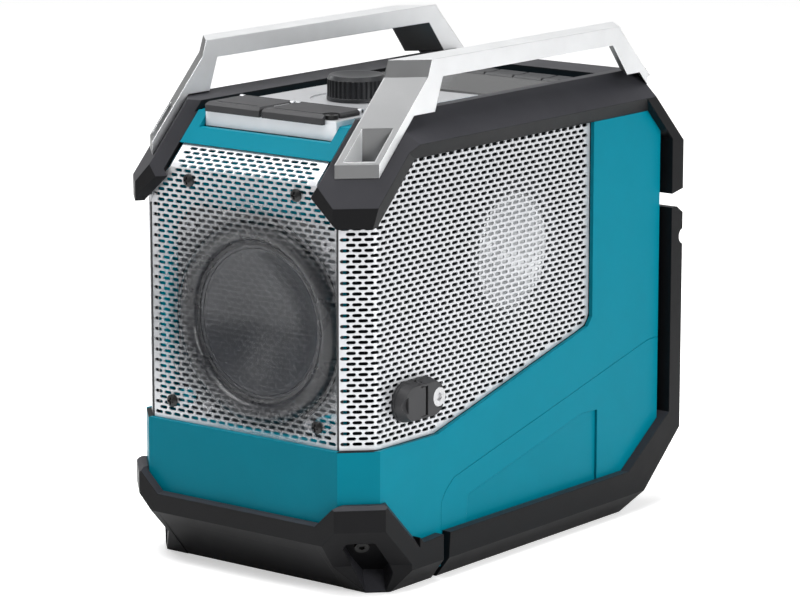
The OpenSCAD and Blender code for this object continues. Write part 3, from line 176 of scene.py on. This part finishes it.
def perforated(sizes, z0, z1, border, left, right, keep, place):
    """Sheet with staggered rows of round-ended slots, worked out on a grid of cells of one slot
    each. A cell has six points on its edge and eight round its slot, two half circles joined by
    straight sides. Row j holds the cells at (k + half of j's parity) pitches. Edge points outside
    the outline, from left(z) to right(z), are moved onto it, and a cell whose points move has no
    slot. keep(s, z) drops whole cells, and place(s, z) turns the flat sheet's coordinates into
    points."""
    pitch, rise = sizes.pitch, sizes.row_pitch
    rows = int((z1 - z0 - 2 * border) / rise)
    first = z0 + (z1 - z0 - rows * rise) / 2
    edges = np.concatenate(([z0], first + np.arange(rows + 1) * rise, [z1]))
    low, high = edges[:-1], edges[1:]
    reach = max(abs(left(z0)), abs(right(z0)), abs(left(z1)), abs(right(z1)))
    cols = int(reach / pitch) + 3
    j, k = np.meshgrid(np.arange(rows + 2), np.arange(-cols, cols + 1), indexing="ij")
    s = ((k + 0.5 * (j % 2)) * pitch).ravel()
    zl, zh = low[j].ravel(), high[j].ravel()
    w = pitch / 2
    es = s[:, None] + np.array([w, w, 0, -w, -w, 0])
    ez = np.stack([zl, zh, zh, zh, zl, zl], 1)
    cs = np.clip(es, left(ez), right(ez))
    moved = np.abs(cs - es).max(1)
    wide = np.ptp(cs, axis=1) > 1e-6
    rim = (j.ravel() == 0) | (j.ravel() == rows + 1)
    kept = wide & keep(s, (zl + zh) / 2)
    holed = kept & (moved < 0.1 * pitch) & ~rim
    plain = kept & ~holed
    # The slot's outline
    r = sizes.slot_height / 2
    run = sizes.slot_length / 2 - r
    turn = np.radians([-90, -30, 30, 90, 90, 150, 210, 270])
    hs = np.where(np.arange(8) < 4, run, -run) + r * np.cos(turn)
    hz = r * np.sin(turn)
    mid = ((zl + zh) / 2)[holed][:, None]
    ps = np.concatenate([cs[holed], s[holed][:, None] + hs], 1).ravel()
    pz = np.concatenate([ez[holed], mid + hz], 1).ravel()
    around = np.array([
        [0, 1, 8], [0, 8, 7], [0, 7, 6], [1, 9, 8], [5, 0, 6], [1, 2, 9], [2, 10, 9],
        [5, 6, 13], [2, 3, 10], [4, 5, 13], [3, 11, 10], [4, 13, 12], [3, 4, 12], [3, 12, 11],
    ])
    n, m = holed.sum(), plain.sum()
    tris = (np.arange(n)[:, None, None] * 14 + around).reshape(-1, 3)
    halves = np.array([[0, 1, 2, 5], [5, 2, 3, 4]])
    quads = (np.arange(m)[:, None, None] * 6 + halves).reshape(-1, 4) + n * 14
    ps = np.concatenate([ps, cs[plain].ravel()])
    pz = np.concatenate([pz, ez[plain].ravel()])
    return place(ps, pz), tris.tolist() + quads.tolist()


def turned_quads(rings, flip=False):
    """Faces between neighbouring rings of a turned piece. Flipped, they face the other way."""
    i, j = (a.ravel() for a in np.meshgrid(np.arange(rings - 1), np.arange(TURNS), indexing="ij"))
    k = (j + 1) % TURNS
    corners = [i * TURNS + j, i * TURNS + k, (i + 1) * TURNS + k, (i + 1) * TURNS + j]
    if flip:
        corners = corners[:1] + corners[:0:-1]
    return np.stack(corners, 1)


def turn_angles():
    """Angles of the points round a turned piece."""
    return np.linspace(0, 2 * math.pi, TURNS + 1)[:-1]


# ---- Finishes ----


def node(tree, kind, **values):
    """A new node whose inputs or, failing those, properties get the values."""
    made = tree.nodes.new(kind)
    for key, value in values.items():
        if key in made.inputs:
            made.inputs[key].default_value = value
        else:
            setattr(made, key, value)
    return made


def map_range(tree, value, from_range, to_range, **values):
    """Output of a node that maps one range of a socket's values to another."""
    made = node(tree, "ShaderNodeMapRange", **values)
    limits = zip(("From Min", "From Max", "To Min", "To Max"), (*from_range, *to_range))
    for key, limit in limits:
        made.inputs[key].default_value = limit
    tree.links.new(value, made.inputs["Value"])
    return made.outputs["Result"]


def maths(tree, operation, first, second=None):
    """Output of a maths node on a socket and, where given, a second socket or number."""
    made = node(tree, "ShaderNodeMath", operation=operation)
    tree.links.new(first, made.inputs[0])
    if isinstance(second, float):
        made.inputs[1].default_value = second
    elif second is not None:
        tree.links.new(second, made.inputs[1])
    return made.outputs["Value"]


def finish(name, colour, rough, metal=0.0, grain=900.0, depth=0.02, mottle=0.06, edge=0.35,
           vary=0.05, shine=0.5):
    """A moulded, painted or cast finish: the colour mottled by a slow noise, roughness varied by
    another, a fine grain as bump of depth millimetres, and edges rounded in the shading by edge
    millimetres."""
    mat = bpy.data.materials.new(name)
    mat.use_nodes = True
    tree = mat.node_tree
    shader = tree.nodes["Principled BSDF"]
    link = tree.links.new
    shader.inputs["Metallic"].default_value = metal
    shader.inputs["Specular IOR Level"].default_value = shine
    place = node(tree, "ShaderNodeTexCoord")
    slow = node(tree, "ShaderNodeTexNoise", Scale=38.0, Detail=4.0, Roughness=0.6)
    link(place.outputs["Object"], slow.inputs["Vector"])
    ramp = node(tree, "ShaderNodeValToRGB")
    dark, light = ramp.color_ramp.elements
    dark.position = 0.3
    light.position = 0.7
    dark.color = (*(c * (1 - mottle) for c in colour), 1)
    light.color = (*(min(1, c * (1 + mottle)) for c in colour), 1)
    link(slow.outputs["Fac"], ramp.inputs["Fac"])
    link(ramp.outputs["Color"], shader.inputs["Base Color"])
    patchy = node(tree, "ShaderNodeTexNoise", Scale=90.0, Detail=3.0)
    link(place.outputs["Object"], patchy.inputs["Vector"])
    spread = map_range(tree, patchy.outputs["Fac"], (0, 1), (rough - vary, rough + vary))
    link(spread, shader.inputs["Roughness"])
    fine = node(tree, "ShaderNodeTexNoise", Scale=grain, Detail=2.0)
    link(place.outputs["Object"], fine.inputs["Vector"])
    bump = node(tree, "ShaderNodeBump", Strength=0.6, Distance=depth * MM)
    link(fine.outputs["Fac"], bump.inputs["Height"])
    if edge:
        round_edge = node(tree, "ShaderNodeBevel", samples=4, Radius=edge * MM)
        link(round_edge.outputs["Normal"], bump.inputs["Normal"])
    link(bump.outputs["Normal"], shader.inputs["Normal"])
    return mat


def paint_facing_light(mat, direction, factor, start, end):
    """Painted light and shade: base colour times factor on the faces whose normal, in the piece's own
    coordinates, points along direction: from none at a cosine of start to full at end."""
    tree = mat.node_tree
    place = node(tree, "ShaderNodeTexCoord")
    facing = node(tree, "ShaderNodeVectorMath", operation="DOT_PRODUCT")
    facing.inputs[1].default_value = direction
    tree.links.new(place.outputs["Normal"], facing.inputs[0])
    amount = map_range(
        tree, facing.outputs["Value"], (start, end), (1.0, factor), interpolation_type="SMOOTHSTEP")
    shader = tree.nodes["Principled BSDF"]
    base = shader.inputs["Base Color"].links[0].from_socket
    scaled = node(tree, "ShaderNodeVectorMath", operation="SCALE")
    tree.links.new(base, scaled.inputs[0])
    tree.links.new(amount, scaled.inputs["Scale"])
    tree.links.new(scaled.outputs["Vector"], shader.inputs["Base Color"])
    return mat


def fade_round_woofer(mat):
    """The sheet thins out to clear round the woofer: opacity rises with the distance from the centre
    of an ellipse of the piece's own coordinates, counted in its radii."""
    tree = mat.node_tree
    place = node(tree, "ShaderNodeTexCoord")
    fit = node(tree, "ShaderNodeMapping", vector_type="TEXTURE")
    fit.inputs["Location"].default_value = (0.014, -0.139, 0.141)
    fit.inputs["Scale"].default_value = (0.088, 1.0, 0.078)
    tree.links.new(place.outputs["Object"], fit.inputs["Vector"])
    reach = node(tree, "ShaderNodeVectorMath", operation="LENGTH")
    tree.links.new(fit.outputs["Vector"], reach.inputs[0])
    fade = map_range(
        tree, reach.outputs["Value"], (0.56, 1.24), (0.015, 1.0), interpolation_type="SMOOTHSTEP")
    tree.links.new(fade, tree.nodes["Principled BSDF"].inputs["Alpha"])
    return mat


def shade_pockets(mat, pocket_shade):
    """Painted shade: near-black colour in the recesses behind the side grilles, told by their place in
    the object.
    """
    tree = mat.node_tree
    place = node(tree, "ShaderNodeTexCoord")
    axes = node(tree, "ShaderNodeSeparateXYZ")
    tree.links.new(place.outputs["Object"], axes.inputs["Vector"])
    side = maths(tree, "ABSOLUTE", axes.outputs["X"])
    inside = None
    # Limits in millimetres of the distance from the middle, of Y and of Z
    for output, test, limit in (
        (side, "GREATER_THAN", 66.0), (side, "LESS_THAN", 80.5), (axes.outputs["Y"], "LESS_THAN", 66.6),
        (axes.outputs["Z"], "GREATER_THAN", 79.5), (axes.outputs["Z"], "LESS_THAN", 238.0),
    ):
        check = maths(tree, test, output, limit * MM)
        inside = maths(tree, "MULTIPLY", inside, check) if inside else check
    shader = tree.nodes["Principled BSDF"]
    base = shader.inputs["Base Color"].links[0].from_socket
    mix = node(tree, "ShaderNodeMix", data_type="RGBA")
    tree.links.new(inside, mix.inputs["Factor"])
    # Sockets 6 and 7 of the mix node are its two colours, and output 2 is the mixed one
    tree.links.new(base, mix.inputs[6])
    mix.inputs[7].default_value = (*pocket_shade, 1)
    tree.links.new(mix.outputs[2], shader.inputs["Base Color"])
    return mat


def dress(mat, *nodes):
    """Puts one finish on CAD nodes."""
    for name in nodes:
        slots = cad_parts[name].data.materials
        slots.clear()
        slots.append(mat)


# ---- Operators ----


class RADIO_OT_housings(bpy.types.Operator):
    """Moulded finish of the two housings"""

    bl_idname = "radio.housings"
    bl_label = "Housings"

    def execute(self, context):
        # Near-black painted shade for the pockets behind the side grilles
        pocket_shade = (0.004, 0.005, 0.006)
        shade_pockets(self.plastic(context, "Housing plastic with painted pocket shade", "upper_housing"), pocket_shade)
        self.plastic(context, "Housing plastic", "lower_housing")
        return {"FINISHED"}

    def plastic(self, context, name, node_name):
        """The housings' plastic, with painted shade that makes it a little darker where it faces the
        front.
        """
        mat = finish(
            name, context.scene.radio_colours.housing, 0.34, grain=1500, depth=0.006, mottle=0.03,
            edge=0.5, shine=0.05)
        # Painted shade on the faces turned towards the front
        dress(paint_facing_light(mat, (0, -1, 0), 0.75, 0.3, 0.95), node_name)
        return mat


class RADIO_OT_bumpers(bpy.types.Operator):
    """Soft black finish of the bumpers, the top frame and the battery door"""

    bl_idname = "radio.bumpers"
    bl_label = "Bumpers"

    def execute(self, context):
        soft = finish(
            "Bumper elastomer", context.scene.radio_colours.bumper, 0.40, grain=2600, depth=0.02,
            mottle=0.10, edge=0.7, shine=0.12)
        # Painted light from above: paler where it faces up
        paint_facing_light(soft, (0, 0, 1), 6.5, 0.0, 0.8)
        dress(soft, "top_frame", "front_bumper", "rear_bumper", "battery_door")
        return {"FINISHED"}


class RADIO_OT_handles(bpy.types.Operator):
    """Satin cast finish of the handles"""

    bl_idname = "radio.handles"
    bl_label = "Handles"

    def execute(self, context):
        cast = finish(
            "Handle casting", context.scene.radio_colours.handle, 0.38, metal=0.85, grain=2200,
            depth=0.01, mottle=0.03, edge=0.6)
        # Painted shade: darker on the slanted front legs
        paint_facing_light(cast, (0, -1, 0), 0.20, 0.35, 0.62)
        dress(cast, "handle_right", "handle_left")
        return {"FINISHED"}


class RADIO_OT_grilles(bpy.types.Operator):
    """Perforated sheets of the front and the sides"""

    bl_idname = "radio.grilles"
    bl_label = "Grilles"
    # The guards of the top frame cover everything beyond |x| - y + z = corner_cut
    corner_cut = 409.78 * MM
    # Y of the front sheet's face, turned positive
    front = 139 * MM
    # Height of the front sheet's upright part, and the radii of its bend and of the side sheets'
    upright = 140.1 * MM
    front_bend = 1.6 * MM
    side_bend = 2.5 * MM
    # Least width of the plain border above and below the slots
    front_border = 0.8 * MM
    side_border = 1.6 * MM
    # The side sheet's rear edge slants from slant_reach in to full length between two heights
    slant_z = (36 * MM, 41 * MM)
    slant_reach = (142.1 * MM, 4.4 * MM, 0.1 * MM, 0.1 * MM)
    # Opening round the power inlet: a slot about a line through (y, z)
    inlet_y = -94.2 * MM
    inlet_z = 102 * MM
    inlet_run = 8 * MM
    inlet_radius = 8.5 * MM

    def execute(self, context):
        sizes = context.scene.radio_grille
        silver = context.scene.radio_colours.silver
        paint = {"metal": 0.6, "grain": 2500, "depth": 0.004, "mottle": 0.02, "edge": 0.0}
        sheet = finish("Grille paint", silver, 0.38, **paint)
        clear = fade_round_woofer(finish("Front grille paint", silver, 0.38, **paint))
        self.front_sheet(sizes, clear)
        for side, sign in (("right", 1), ("left", -1)):
            self.side_sheet(sizes, sheet, side, sign)
        return {"FINISHED"}

    def front_sheet(self, sizes, mat):
        """Upright up to the bend, leaning back 45 degrees above it, and cut under the guards."""
        lo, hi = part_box("front_grille")
        bend = lo.z + self.upright
        profile = bent_path(
            [(lo.y, lo.z), (lo.y, bend), (lo.y + hi.z - bend, hi.z)], self.front_bend)
        up = run_length(profile)
        corner = self.corner_cut - self.front
        edge_z = [0, corner - hi.x - lo.z, bend - lo.z, up[-1]]
        edge_x = np.array([hi.x, hi.x, corner - bend, corner - bend])
        verts, faces = perforated(
            sizes, 0, up[-1], self.front_border,
            lambda z: -np.interp(z, edge_z, edge_x),
            lambda z: np.interp(z, edge_z, edge_x),
            lambda s, z: np.ones(len(s), bool),
            lambda s, z: np.stack(
                [s, np.interp(z, up, profile[:, 0]), np.interp(z, up, profile[:, 1])], 1),
        )
        self.finish_sheet("Front_grille", verts, faces, mat, "front_grille", sizes.sheet)

    def side_sheet(self, sizes, mat, side, sign):
        """Round the front corner and along the side, cut by the housing's slant, under the guards
        and, on the right, round the power inlet."""
        node_name = "side_grille_" + side
        lo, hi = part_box(node_name)
        outer = hi.x if sign > 0 else -lo.x
        inner = lo.x if sign > 0 else -hi.x
        turn = outer - inner
        path = bent_path(
            [(inner, lo.y), (outer, lo.y + turn), (outer, hi.y)], self.side_bend)
        along = run_length(path)
        low_z = [lo.z, lo.z + self.slant_z[0], lo.z + self.slant_z[1], hi.z]
        far = along[-1] - np.array(self.slant_reach)
        # Under the guards nothing is left of the corner's face, and less of the side the higher it goes
        cut_z = self.corner_cut - inner + lo.y
        near_z = [cut_z - 1 * MM, cut_z + 1 * MM, hi.z]
        near = np.array([0, math.sqrt(2) * turn, math.sqrt(2) * turn + hi.z - cut_z])
        radius = self.inlet_radius if sign > 0 else 0

        def clear_of_inlet(s, z):
            y = np.interp(s, along, path[:, 1])
            over = np.maximum(np.abs(y - self.inlet_y) - self.inlet_run, 0)
            return np.hypot(over, z - self.inlet_z) > radius

        verts, faces = perforated(
            sizes, lo.z, hi.z, self.side_border,
            lambda z: np.interp(z, near_z, near),
            lambda z: np.interp(z, low_z, far),
            clear_of_inlet,
            lambda s, z: np.stack(
                [sign * np.interp(s, along, path[:, 0]), np.interp(s, along, path[:, 1]), z], 1),
        )
        if sign < 0:
            faces = [f[::-1] for f in faces]
        self.finish_sheet("Side_grille_" + side, verts, faces, mat, node_name, sizes.sheet)

    def finish_sheet(self, name, verts, faces, mat, node_name, thick):
        """The flat mesh becomes a sheet that stands for its CAD node."""
        obj = new_piece(name, verts, faces, "body", (node_name,))
        weld(obj)
        thicken(obj, "sheet", thick)
        obj.data.materials.append(mat)


class RADIO_OT_controls(bpy.types.Operator):
    """Finishes of the control panel, knob, keys, display, covers and the pieces inside"""

    bl_idname = "radio.controls"
    bl_label = "Controls"

    def execute(self, context):
        silver = context.scene.radio_colours.silver
        panel = finish("Panel paint", tuple(1.3 * c for c in silver), 0.36, metal=0.25, grain=2400,
                       depth=0.006, mottle=0.02)
        # Painted shade: grey on top, while the front lip keeps the bright colour
        dress(paint_facing_light(panel, (0, 0, 1), 0.42, 0.5, 0.95), "control_panel")
        dress(finish("Display window", (0.006, 0.007, 0.008), 0.14, depth=0.001, mottle=0.1, edge=0.3,
                     shine=0.22, vary=0.03), "display_lens")
        dress(finish("Key rubber", (0.018, 0.019, 0.021), 0.50, grain=2600, mottle=0.1, edge=0.5),
              "button_1", "button_2", "button_3", "button_4", "button_5", "button_6",
              "button_bezel", "keypad")
        dress(finish("Knob rubber", (0.014, 0.015, 0.017), 0.36, grain=2600, mottle=0.1, edge=0.4),
              "volume_knob")
        dress(finish("Cover rubber", (0.020, 0.020, 0.022), 0.55, grain=2800, depth=0.03,
                     mottle=0.1, edge=0.5),
              "usb_cover", "aux_cover", "inlet_base", "inlet_flap", "grille_gaskets", "door_seal")
        dress(finish("Board green", (0.02, 0.12, 0.05), 0.4, mottle=0.2),
              "control_board", "main_board")
        dress(finish("Display glass", (0.20, 0.23, 0.18), 0.3), "lcd_module")
        dress(finish("Plated metal", (0.62, 0.62, 0.60), 0.25, metal=1.0),
              "encoder_shaft", "encoder_body", "usb_socket", "battery_terminals", "heat_sink")
        dress(finish("Inner plastic", (0.03, 0.03, 0.033), 0.5),
              "battery_bay", "aux_socket", "inlet_jack", "door_latch")
        return {"FINISHED"}


class RADIO_OT_speakers(bpy.types.Operator):
    """Finishes of the woofer and the side speakers"""

    bl_idname = "radio.speakers"
    bl_label = "Speakers"
    # Depth of the woofer's bowl, and of its edge below the front of the cone; the cone's thickness
    bowl_depth = 13 * MM
    edge_depth = 1.2 * MM
    paper = 0.6 * MM
    # Rim outside the bowl in mm: distance outwards from the bowl's edge, depth. The second and
    # third points are the floor of the groove
    rim = ((0.25, 1.0), (0.5, 1.9), (0.9, 1.9), (1.2, 0.8), (2.4, 0.5), (4.2, 0.2))

    def execute(self, context):
        dress(finish("Speaker frame", (0.030, 0.033, 0.038), 0.5, mottle=0.1),
              "woofer_frame", "mid_frame_right", "mid_frame_left")
        dress(finish("Surround rubber", (0.020, 0.021, 0.024), 0.28, mottle=0.1, depth=0.01,
                     shine=0.45), "woofer_surround")
        self.dish(finish("Woofer cone", (0.026, 0.028, 0.033), 0.30, mottle=0.04, depth=0.004,
                         edge=0.0))
        dress(finish("Side cone", (0.62, 0.63, 0.64), 0.35, metal=0.3),
              "mid_cone_right", "mid_cone_left")
        dress(finish("Magnet", (0.30, 0.30, 0.30), 0.4, metal=1.0), "woofer_magnet")
        return {"FINISHED"}

    def dish(self, mat):
        """Smooth one-piece cone of the woofer: a parabola inside a flat rim with a fine groove,
        turned about the woofer's axis."""
        lo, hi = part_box("woofer_cone")
        rim = np.array(self.rim) * MM
        bowl = (hi.x - lo.x) / 2 - rim[-1, 0]
        r = np.linspace(0, bowl, 30)
        depth = self.bowl_depth * (1 - (r / bowl) ** 2) + self.edge_depth
        r = np.concatenate([r, bowl + rim[:, 0]])
        depth = np.concatenate([depth, rim[:, 1]])
        turn = turn_angles()
        middle = (lo + hi) / 2
        x = middle.x + r[:, None] * np.cos(turn)
        z = middle.z + r[:, None] * np.sin(turn)
        y = np.broadcast_to(lo.y + depth[:, None], x.shape)
        verts = np.stack([x, y, z], -1).reshape(-1, 3)
        faces = turned_quads(len(r)).tolist()
        obj = new_piece("Woofer_cone", verts, faces, "body", ("woofer_cone",), smooth=40)
        weld(obj)
        thicken(obj, "paper", self.paper)
        obj.data.materials.append(mat)


class RADIO_OT_fasteners(bpy.types.Operator):
    """Finishes of the screws and pins"""

    bl_idname = "radio.fasteners"
    bl_label = "Fasteners"
    # Grille screws: radii of head and shank, height of the head and of its dome
    head = 3.5 * MM
    shank = 1.7 * MM
    head_height = 2.4 * MM
    dome = 1.5 * MM
    # Cross recess: half the width of its arms, their reach and their depth
    arm = 0.5 * MM
    arm_reach = 2.1 * MM
    recess = 0.9 * MM
    # Distance of the upper screws from the middle
    upper_x = 37.5 * MM

    def execute(self, context):
        black = finish("Black screws", (0.02, 0.02, 0.02), 0.30, metal=0.5, edge=0.0)
        dress(black, "panel_screw", "bumper_screws")
        self.grille_screws(black)
        dress(finish("Steel screws", (0.55, 0.55, 0.56), 0.28, metal=1.0),
              "handle_screws", "board_screws", "inlet_screw", "door_pins")
        dress(finish("Dull steel screws", (0.20, 0.20, 0.21), 0.30, metal=1.0), "woofer_screws")
        return {"FINISHED"}

    def grille_screws(self, mat):
        """Four domed screws turned about Y. The head's surface falls back with the square of the
        radius, less a cross recess where the smaller of the two offsets from the axis is under half
        an arm's width, and a shank follows."""
        lo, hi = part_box("grille_screws")
        seat = lo.y + self.head_height
        crown = np.linspace(0, self.head, 26)
        r = np.concatenate((crown, [self.head, self.shank, self.shank, 0]))
        y = np.concatenate((lo.y + self.dome * (crown / self.head) ** 2, [seat, seat, hi.y, hi.y]))
        turn = turn_angles()
        dx = r[:, None] * np.cos(turn)
        dz = r[:, None] * np.sin(turn)
        cross = (np.minimum(abs(dx), abs(dz)) < self.arm) & (r[:, None] < self.arm_reach)
        cross[len(crown):] = False
        depth = y[:, None] + self.recess * cross
        quads = turned_quads(len(r), flip=True)
        verts = []
        faces = []
        for x, z in ((self.upper_x, hi.z - self.head), (hi.x - self.head, lo.z + self.head)):
            for side in (-1, 1):
                faces.append(quads + len(verts) * dx.size)
                verts.append(np.stack([side * x + dx, depth, z + dz], -1).reshape(-1, 3))
        obj = new_piece("Grille_screws", np.concatenate(verts), np.concatenate(faces).tolist(), "body",
                        ("grille_screws",), smooth=35)
        weld(obj)
        obj.data.materials.append(mat)


class RADIO_OT_stage(bpy.types.Operator):
    """Pale floor, soft light and the camera"""

    bl_idname = "radio.stage"
    bl_label = "Stage"
    # Edge of the floor in metres, its squares along an edge, and how far it lies under the radio
    floor_edge = 8.0
    floor_squares = 32
    floor_drop = 0.2 * MM
    # Camera fitted to the photo: place, direction of view and shift
    camera_place = (1.2613, -1.6018, 0.5478)
    camera_aim = (-0.6076, 0.7699, -0.1953)
    camera_shift = (-0.0005, -0.0246)

    def execute(self, context):
        scene = context.scene
        stage = scene.radio_stage
        scene.view_settings.view_transform = "Standard"
        self.lay_floor(scene)
        self.light_world(scene)
        for name, watts, size, place, aim in (
            ("Overhead", stage.key, 1.6, (-0.2, -0.3, 1.9), (0, 0, 0.1)),
            ("Left", stage.left, 1.2, (-1.0, -1.9, 0.9), (0, 0, 0.14)),
            ("Right", stage.right, 1.2, (2.2, -0.3, 1.0), (0, 0, 0.14)),
        ):
            light = bpy.data.lights.new(name, "AREA")
            light.energy = watts
            light.shape = "SQUARE"
            light.size = size
            lamp = bpy.data.objects.new(name, light)
            self.stand(scene, lamp, place, Vector(aim) - Vector(place))
        camera = bpy.data.cameras.new("Camera")
        camera.lens = stage.lens
        camera.sensor_width = 36
        camera.shift_x, camera.shift_y = self.camera_shift
        camera.clip_start = 0.05
        view = bpy.data.objects.new("Camera", camera)
        self.stand(scene, view, self.camera_place, Vector(self.camera_aim))
        scene.camera = view
        return {"FINISHED"}

    def stand(self, scene, obj, place, aim):
        """Puts a lamp or a camera in its place, turned to look along aim."""
        obj.location = place
        obj.rotation_euler = aim.to_track_quat("-Z", "Y").to_euler()
        scene.collection.objects.link(obj)

    def lay_floor(self, scene):
        """Flat square grid a little under the radio."""
        n = self.floor_squares
        t = (np.linspace(0, 1, n + 1) - 0.5) * self.floor_edge
        grid = np.stack(np.meshgrid(t, t, indexing="ij"), -1).reshape(-1, 2)
        verts = np.column_stack([grid, np.full(len(grid), -self.floor_drop)])
        i, j = (a.ravel() for a in np.meshgrid(np.arange(n), np.arange(n), indexing="ij"))
        a = i * (n + 1) + j
        mesh = bpy.data.meshes.new("Floor")
        mesh.from_pydata(verts, [], np.stack([a, a + n + 1, a + n + 2, a + 1], 1).tolist())
        floor = bpy.data.objects.new("Floor", mesh)
        scene.collection.objects.link(floor)
        floor.data.materials.append(self.floor_paint())

    def floor_paint(self):
        """Pale matt floor with a trace of mottling, lifted towards white for the camera."""
        mat = finish("Floor paint", (0.88, 0.88, 0.88), 0.8, grain=60, depth=0.0, mottle=0.01, edge=0)
        tree = mat.node_tree
        shader = tree.nodes["Principled BSDF"]
        shader.inputs["Emission Color"].default_value = (1, 1, 1, 1)
        path = node(tree, "ShaderNodeLightPath")
        lift = map_range(tree, path.outputs["Is Camera Ray"], (0, 1), (0.0, 0.45))
        tree.links.new(lift, shader.inputs["Emission Strength"])
        return mat

    def light_world(self, scene):
        """White backdrop to the camera; for the object a soft dome that is bright round the horizon,
        darker overhead and darker in front."""
        world = bpy.data.worlds.new("Studio")
        scene.world = world
        world.use_nodes = True
        tree = world.node_tree
        link = tree.links.new
        place = node(tree, "ShaderNodeTexCoord")
        axes = node(tree, "ShaderNodeSeparateXYZ")
        link(place.outputs["Generated"], axes.inputs["Vector"])
        dome = map_range(tree, axes.outputs["Z"], (0.15, 0.8), (0.50, 0.34))
        toward = node(tree, "ShaderNodeVectorMath", operation="DOT_PRODUCT")
        toward.inputs[1].default_value = (0.40, -0.917, 0.0)
        link(place.outputs["Generated"], toward.inputs[0])
        shade = map_range(
            tree, toward.outputs["Value"], (0.35, 0.95), (1.0, 0.25), interpolation_type="SMOOTHSTEP")
        light = maths(tree, "MULTIPLY", dome, shade)
        path = node(tree, "ShaderNodeLightPath")
        seen = maths(
            tree, "MAXIMUM", path.outputs["Is Camera Ray"], path.outputs["Is Transmission Ray"])
        level = node(tree, "ShaderNodeMix")
        # Sockets 0, 2 and 3 of the mix node are its factor and its two numbers
        link(seen, level.inputs[0])
        link(light, level.inputs[2])
        level.inputs[3].default_value = 1.0
        background = tree.nodes["Background"]
        link(level.outputs[0], background.inputs["Strength"])
        background.inputs["Color"].default_value = (1, 1, 1, 1)


class RADIO_PT_panel(bpy.types.Panel):
    """Buttons that dress the radio, with their settings"""

    bl_idname = "RADIO_PT_panel"
    bl_label = "Jobsite radio"
    bl_space_type = "VIEW_3D"
    bl_region_type = "UI"
    bl_category = "Radio"

    def draw(self, context):
        for name in GROUPS:
            group = getattr(context.scene, name)
            box = self.layout.box()
            for key in group.__annotations__:
                box.prop(group, key)
        for operator in OPERATORS:
            self.layout.operator(operator.bl_idname)


GROUPS = {"radio_colours": RadioColours, "radio_grille": RadioGrille, "radio_stage": RadioStage}
OPERATORS = (
    RADIO_OT_housings, RADIO_OT_bumpers, RADIO_OT_handles, RADIO_OT_grilles, RADIO_OT_controls,
    RADIO_OT_speakers, RADIO_OT_fasteners, RADIO_OT_stage,
)


def register():
    for cls in (*GROUPS.values(), *OPERATORS, RADIO_PT_panel):
        bpy.utils.register_class(cls)
    for name, group in GROUPS.items():
        setattr(bpy.types.Scene, name, PointerProperty(type=group))


def unregister():
    for name in GROUPS:
        delattr(bpy.types.Scene, name)
    for cls in (RADIO_PT_panel, *OPERATORS, *GROUPS.values()):
        bpy.utils.unregister_class(cls)


def main():
    register()
    for operator in OPERATORS:
        group, call = operator.bl_idname.split(".")
        getattr(getattr(bpy.ops, group), call)()


if __name__ == "__main__":
    main()
